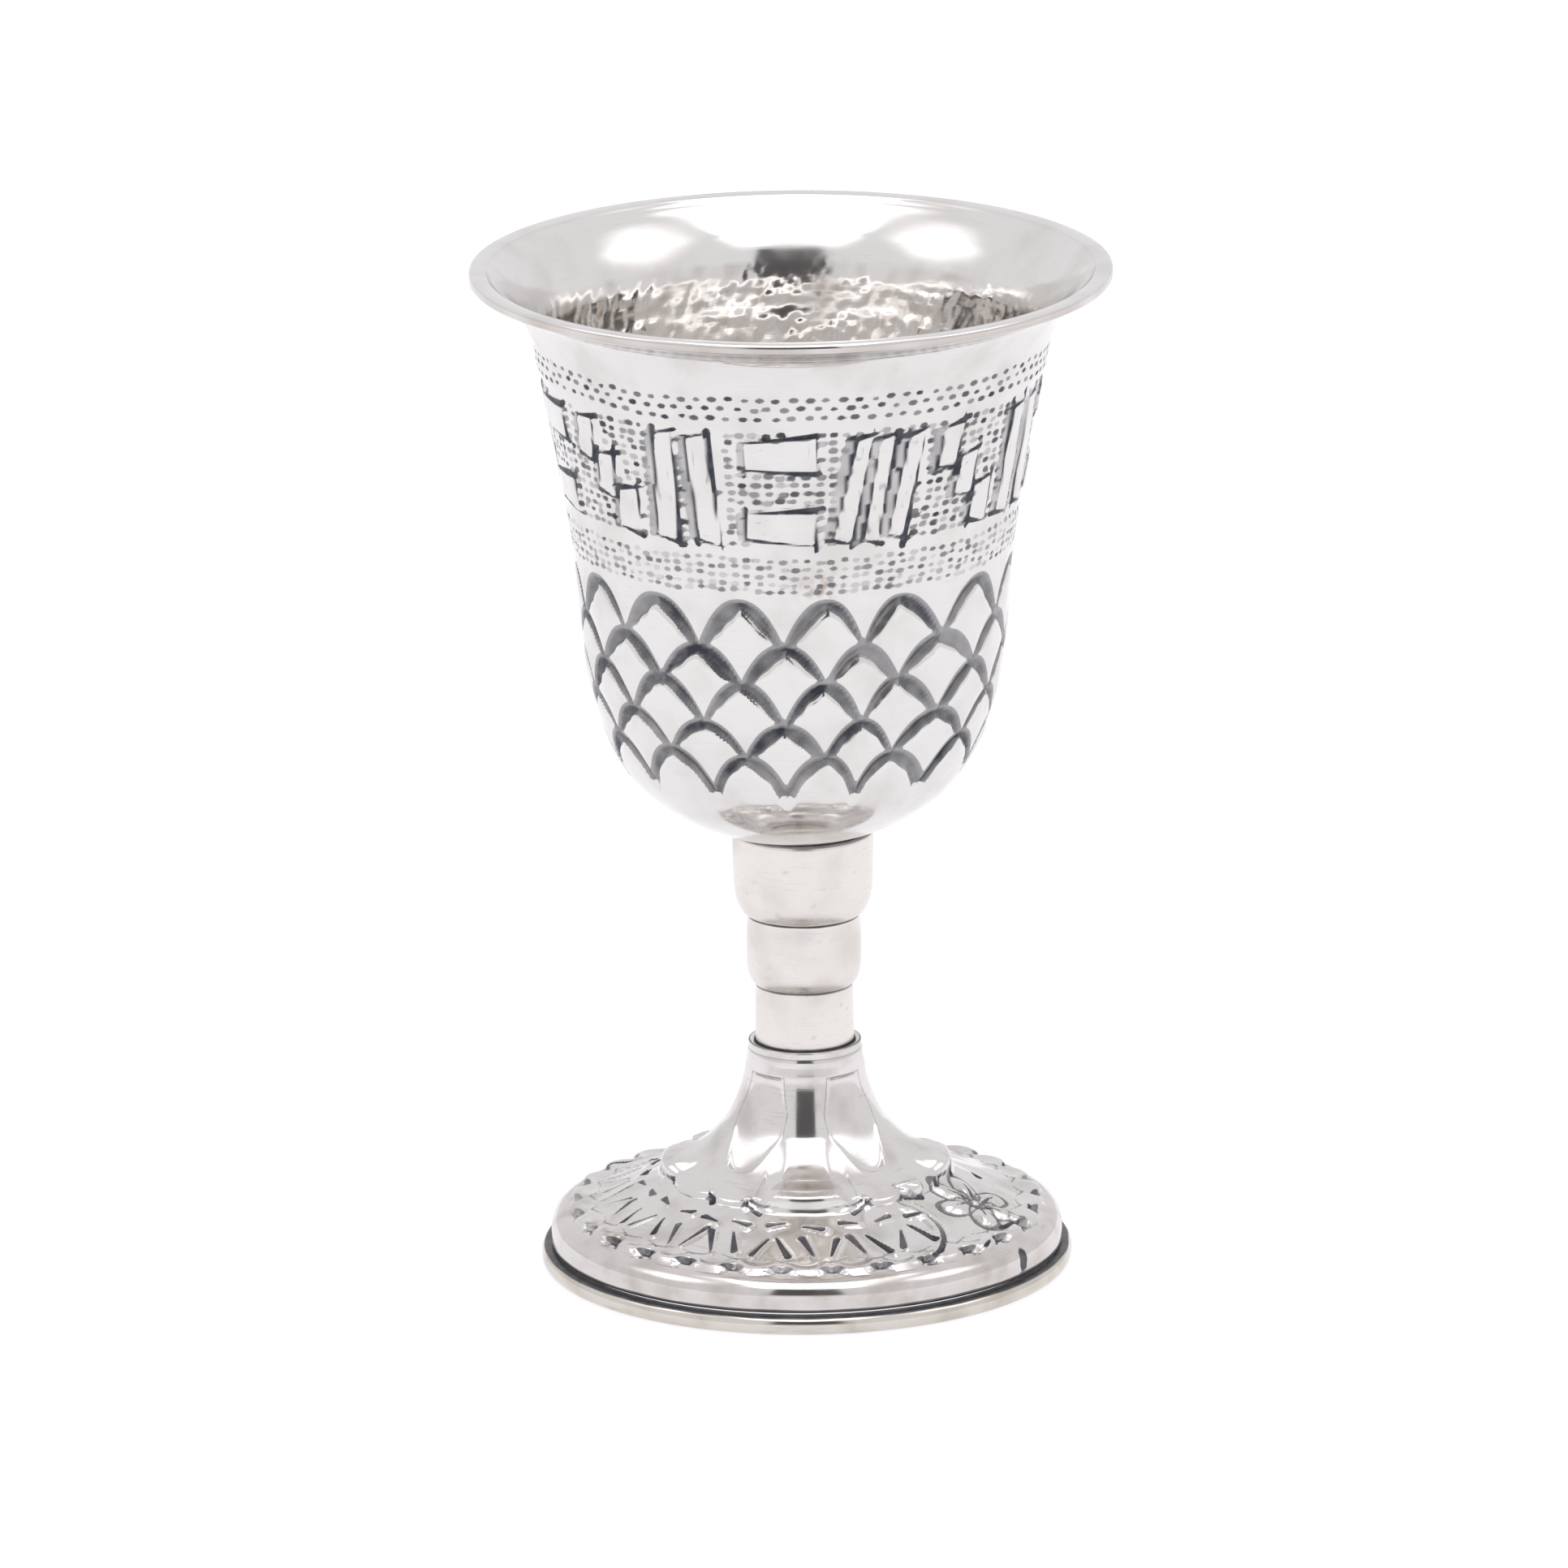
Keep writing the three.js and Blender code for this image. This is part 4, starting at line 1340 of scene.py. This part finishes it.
@dataclass
class Foot(Part):
    """The stamped foot: a fluted neck that spreads into a chased dome with an upright rim, hollow below."""

    node: str = "foot"
    slot: str = "stamped_silver"
    finish: SilverFinish = STAMPED
    wall: float = 0.7
    knots: tuple[Pair, ...] = (
        (6.95, 24.8), (7.12, 23.4), (7.47, 21.9), (8.16, 19.9), (9.23, 17.7), (10.1, 16.4), (12.6, 13.5),
        (16.2, 11.3), (20.6, 9.2), (25.3, 7.4), (28.2, 6.4),
    )
    shoulder: float = 2.2
    collar: float = 6.77
    groove: float = 26.48
    collar_joint: float = 27.34
    bore: float = 4.9
    seat_radius: float = 6.0
    seat_height: float = 25.9
    chasing: FootChasing = field(default_factory=FootChasing)

    def build(self) -> bpy.types.Object:
        """Turns the rim and dome up to the collar, then down the seat and bore and out under the dome.

        Returns:
            The foot.
        """
        rim, bottom, top = self.span()
        falling = Outline.through(self.knots)
        neck = falling.run_at_radius(15.6)
        bend = self.knots[-1][1] - self.shoulder
        round_edge = arc((rim - self.shoulder, bend), self.shoulder, 0.0, 84.0, 14)
        wall = np.stack([np.full(8, rim), np.linspace(bottom + 0.2, bend - 0.2, 8)], axis=-1)
        collar = np.array([
            [6.91, 25.3], [6.88, 25.9], [6.86, 26.3], [6.8, 26.4], [6.76, self.groove],
            [self.collar - 0.02, 26.58], [self.collar, 26.75], [self.collar, top - 0.2],
            [self.collar - 0.05, top - 0.06], [self.collar - 0.2, top],
        ])
        stretches = [
            Stretch(np.array([[rim - 0.1, bottom]]), 240),
            Stretch(wall, 240, self._rim_marks),
            Stretch(round_edge, 300, self._rim_marks),
            Stretch(falling.between(falling.run[-1], neck, 0.27), 560, self.chasing.chase),
            Stretch(falling.between(neck, 0.0, 0.27), 300, self.chasing.chase),
            Stretch(collar, 160, self._joint),
            Stretch(np.array([[self.seat_radius, top - 0.1], [self.seat_radius, self.seat_height]]), 80),
            Stretch(np.array([[self.bore, self.seat_height]]), 80),
            Stretch(self._underside(falling, rim), 96),
        ]
        return self.turned("stamped", stretches, looped=True)

    def _underside(self, falling: Outline, rim: float) -> Grid:
        """Moves the dome in by the wall, and carries it down inside the rim.

        Args:
            falling: The dome's outside, from the neck out.
            rim: The rim's radius.

        Returns:
            The hollow's outline from the bore out to the rim's foot.
        """
        under = Outline(falling.points[::-1]).moved(self.wall).points[::-1]
        kept = under[(under[:, 0] > self.bore + 0.6) & (under[:, 0] < 27.6)]
        wall = [[rim - self.wall - 0.8, 5.1], [rim - self.wall, 4.0], [rim - self.wall, 2.5]]
        return np.vstack([[[self.bore, kept[0, 1] + 0.4]], kept[::12], wall])

    @staticmethod
    def _rim_marks(patch: Patch) -> None:
        """Leaves one small dark nick in the rim, a painted dark reflection along its foot above the base
        ring, and faint dents from handling.

        Args:
            patch: The patch to mark.
        """
        patch.cut(oval(patch.across(57.5), patch.height - 4.4, 0.75, 1.4, 3.0), 0.7, 0.2, 0.95)
        # Painted reflection: a dark band along the wall's foot stands in for the dark that the wall mirrors
        # just above the base ring.
        patch.mark(2.92 - patch.height + 0.07 * patch.ripple(21, 25, 50.0, 0.0), 0.85)
        patch.lift(patch.ripple(18, 14, 12.0), 0.03)
        patch.soil(0.1 + 0.1 * smooth(patch.ripple(94, 40, 2.0), 0.0, 1.5))

    def _joint(self, patch: Patch) -> None:
        """Leaves oxide in the groove under the collar and in the solder joint at its top edge."""
        patch.mark(0.08 - np.abs(patch.height - self.groove), 0.3)
        patch.mark(patch.height - self.collar_joint, 0.9)


# ---- Base ring ------------------------------------------------------------------------------


@dataclass
class BaseRing(Part):
    """The base ring: half-round wire bent to a hoop, flat underneath."""

    node: str = "base_ring"
    slot: str = "drawn_silver"
    finish: SilverFinish = DRAWN
    width: float = 2.2
    bulge: float = 0.95
    squareness: float = 0.75

    def build(self) -> bpy.types.Object:
        """Turns the wire's section: a flat below, then an oval bulging out, a flat above, and straight in.

        Returns:
            The ring.
        """
        outer, _, top = self.span()
        inner, reach, half = outer - self.width, outer - self.bulge, top / 2.0
        turned = np.radians(np.linspace(-84.0, 84.0, 19))
        radii = reach + self.bulge * np.cos(turned) ** self.squareness
        outside = np.stack([radii, half + half * np.sin(turned)], axis=-1)
        below, above = [[inner + 0.3, 0.0], [reach - 0.2, 0.0]], [[reach - 0.2, top], [inner + 0.3, top]]
        section = np.vstack([below, outside, above, [[inner, top - 0.4], [inner, 0.4]]])
        return self.turned("drawn", [Stretch(section, 300, self._joint_shade_and_wear)], looped=True)

    @staticmethod
    def _joint_shade_and_wear(patch: Patch) -> None:
        """Paints shade in the joint with the foot above it, and leaves the dents of a hundred tables.

        Args:
            patch: The patch to wear.
        """
        # Painted shade: the ring's top is darkened where the foot's wall sits on it.
        patch.mark(patch.height - 2.0 + 0.03 * patch.ripple(19, 30, 50.0, 0.0), 0.95)
        patch.soil(0.12 + 0.12 * smooth(patch.ripple(95, 30, 3.0), 0.0, 1.5))
        middle = smooth(np.abs(patch.height - 1.1), 1.0, 0.6)
        patch.lift(patch.ripple(20, 20, 50.0, 0.0) * middle - 1.0, 0.02)


# ---- Studio ---------------------------------------------------------------------------------


def facing(place: Place, upright: bool = False) -> Matrix:
    """Puts something at a place with its +Z side facing the cup's middle, or level with itself if upright."""
    away = Vector((0.0, 0.0, place[2] if upright else 0.06)) - Vector(place)
    return Matrix.Translation(place) @ away.to_track_quat("Z", "Y").to_matrix().to_4x4()


@dataclass(frozen=True)
class Card:
    """A card, in metres, that faces the cup and shows only in reflections.

    Its middle glows by its own strength, and its edges as the tent does: soft is the share of half its size
    over which it fades.
    """

    name: str
    size: Pair
    place: Place
    glow: float
    soft: float
    upright: bool = False
    steps: int = 17

    def build(self, tent: str, tent_glow: float) -> None:
        """Makes the card as a grid whose points hold their glow.

        Args:
            tent: The tent's colour.
            tent_glow: How brightly the tent's walls glow.
        """
        line = np.linspace(-1.0, 1.0, self.steps)
        across, up = np.meshgrid(line, line)
        points = np.stack([across * self.size[0] / 2.0, up * self.size[1] / 2.0, 0.0 * across], axis=-1)
        grid = np.arange(self.steps**2).reshape(self.steps, self.steps)
        faces = np.stack([grid[:-1, :-1], grid[:-1, 1:], grid[1:, 1:], grid[1:, :-1]], axis=-1)
        mesh = bpy.data.meshes.new(self.name)
        mesh.from_pydata(points.reshape(-1, 3).tolist(), [], faces.reshape(-1, 4).tolist())
        mesh.transform(facing(self.place, self.upright))
        over = np.maximum(np.abs([across, up]) - 1.0 + self.soft, 0.0)
        share = smooth(1.0 - np.minimum(np.hypot(*over) / self.soft, 1.0), 0.0, 1.0).ravel()
        glows = (tent_glow + (self.glow - tent_glow) * share).astype(np.float32)
        mesh.attributes.new("glow", "FLOAT", "POINT").data.foreach_set("value", glows)
        nodes = Nodes(self.name)
        light = {"Color": linear(tent), "Strength": nodes.attribute("glow")}
        mesh.materials.append(nodes.finish(nodes.add("Emission", "Emission", light)))
        card = add_object(self.name, mesh)
        card.visible_camera = False
        card.visible_shadow = False
        card.visible_diffuse = False


@dataclass(frozen=True)
class SoftBox:
    """A soft box, in metres and watts, that lights the table; the cup mirrors a card in its place instead."""

    name: str
    size: Pair
    place: Place
    watts: float

    def build(self) -> None:
        """Makes the light, and turns its shining side to the cup."""
        data = bpy.data.lights.new(self.name, "AREA")
        data.shape = "RECTANGLE"
        data.size, data.size_y = self.size
        data.energy = self.watts
        light = add_object(self.name, data)
        light.visible_glossy = False
        light.matrix_world = facing(self.place) @ Matrix.Rotation(math.pi, 4, "X")


@dataclass
class Studio:
    """A white tent on a pale table: soft lights above and at both sides, and the dark gap for the camera."""

    camera_elevation: float = 15.83
    camera_roll: float = 0.589
    camera_distance: float = 1941.3
    camera_lens: float = 374.6
    aim: Place = (-2.17, 0.0, 58.86)
    tent: str = "#dcdbde"
    tent_glow: float = 1.25
    paper: str = "#626165"
    paper_light: str = "#fbfafd"
    paper_glow: float = 0.88
    paper_half: float = 2.6
    cards: tuple[Card, ...] = (
        Card("overhead", (1.25, 1.8), (0.0, -0.28, 1.3), 3.4, 0.35),
        Card("left", (0.95, 0.8), (-0.82, -0.14, 0.88), 3.0, 0.85),
        Card("right", (0.95, 0.8), (0.82, -0.14, 0.88), 3.0, 0.85),
        Card("camera_gap", (0.6, 0.88), (0.0, -0.95, 0.53), 0.16, 0.06, upright=True),
    )
    boxes: tuple[SoftBox, ...] = (
        SoftBox("overhead_box", (1.6, 1.2), (0.0, 0.1, 1.3), 12.0),
        SoftBox("left_box", (0.7, 0.9), (-1.1, -0.5, 0.6), 3.5),
        SoftBox("right_box", (0.7, 0.9), (1.1, -0.5, 0.6), 3.5),
    )

    def build(self) -> None:
        """Sets up the camera, world, floor, lights and dark gap."""
        self._camera()
        self._world()
        self._floor()
        for card in self.cards:
            card.build(self.tent, self.tent_glow)
        for box in self.boxes:
            box.build()

    def _camera(self) -> None:
        """Sets up a camera that looks along +Y and down at the cup, turned a little about its own view."""
        data = bpy.data.cameras.new("camera")
        data.lens = self.camera_lens
        data.sensor_width = 36.0
        data.clip_start, data.clip_end = 0.01, 20.0
        camera = add_object("camera", data)
        elevation = math.radians(self.camera_elevation)
        back = Vector((0.0, -math.cos(elevation), math.sin(elevation)))
        place = (Vector(self.aim) + back * self.camera_distance) * MM
        tilt = Matrix.Rotation(math.pi / 2.0 - elevation, 4, "X")
        roll = Matrix.Rotation(-math.radians(self.camera_roll), 4, "Z")
        camera.matrix_world = Matrix.Translation(place) @ tilt @ roll
        bpy.context.scene.camera = camera

    def _world(self) -> None:
        """Makes the tent's walls an even pale grey."""
        world = bpy.data.worlds.new("tent")
        world.use_nodes = True
        background = world.node_tree.nodes["Background"]
        background.inputs["Color"].default_value = linear(self.tent)
        background.inputs["Strength"].default_value = self.tent_glow
        bpy.context.scene.world = world
        bpy.context.scene.view_settings.view_transform = "Standard"

    def _floor(self) -> None:
        """Makes a pale matt table that fills the view, lit through from below so that shadows stay faint."""
        half = self.paper_half
        corners = [(-half, -half, 0.0), (half, -half, 0.0), (half, half, 0.0), (-half, half, 0.0)]
        mesh = bpy.data.meshes.new("floor")
        mesh.from_pydata(corners, [], [(0, 1, 2, 3)])
        nodes = Nodes("white_acrylic_table")
        paper = {
            "Base Color": linear(self.paper), "Roughness": 0.9,
            "Emission Color": linear(self.paper_light), "Emission Strength": self.paper_glow,
        }
        mesh.materials.append(nodes.finish(nodes.add("BsdfPrincipled", "BSDF", paper)))
        add_object("floor", mesh)


def main() -> None:
    """Builds the studio, then each piece of the cup from the top down."""
    logging.basicConfig(level=logging.INFO, format="%(name)s: %(message)s")
    Studio().build()
    for part in (Bowl(), Stem(), Foot(), BaseRing()):
        piece = part.build()
        log.info("%s stands for %s", piece.name, part.node)


if __name__ == "__main__":
    main()
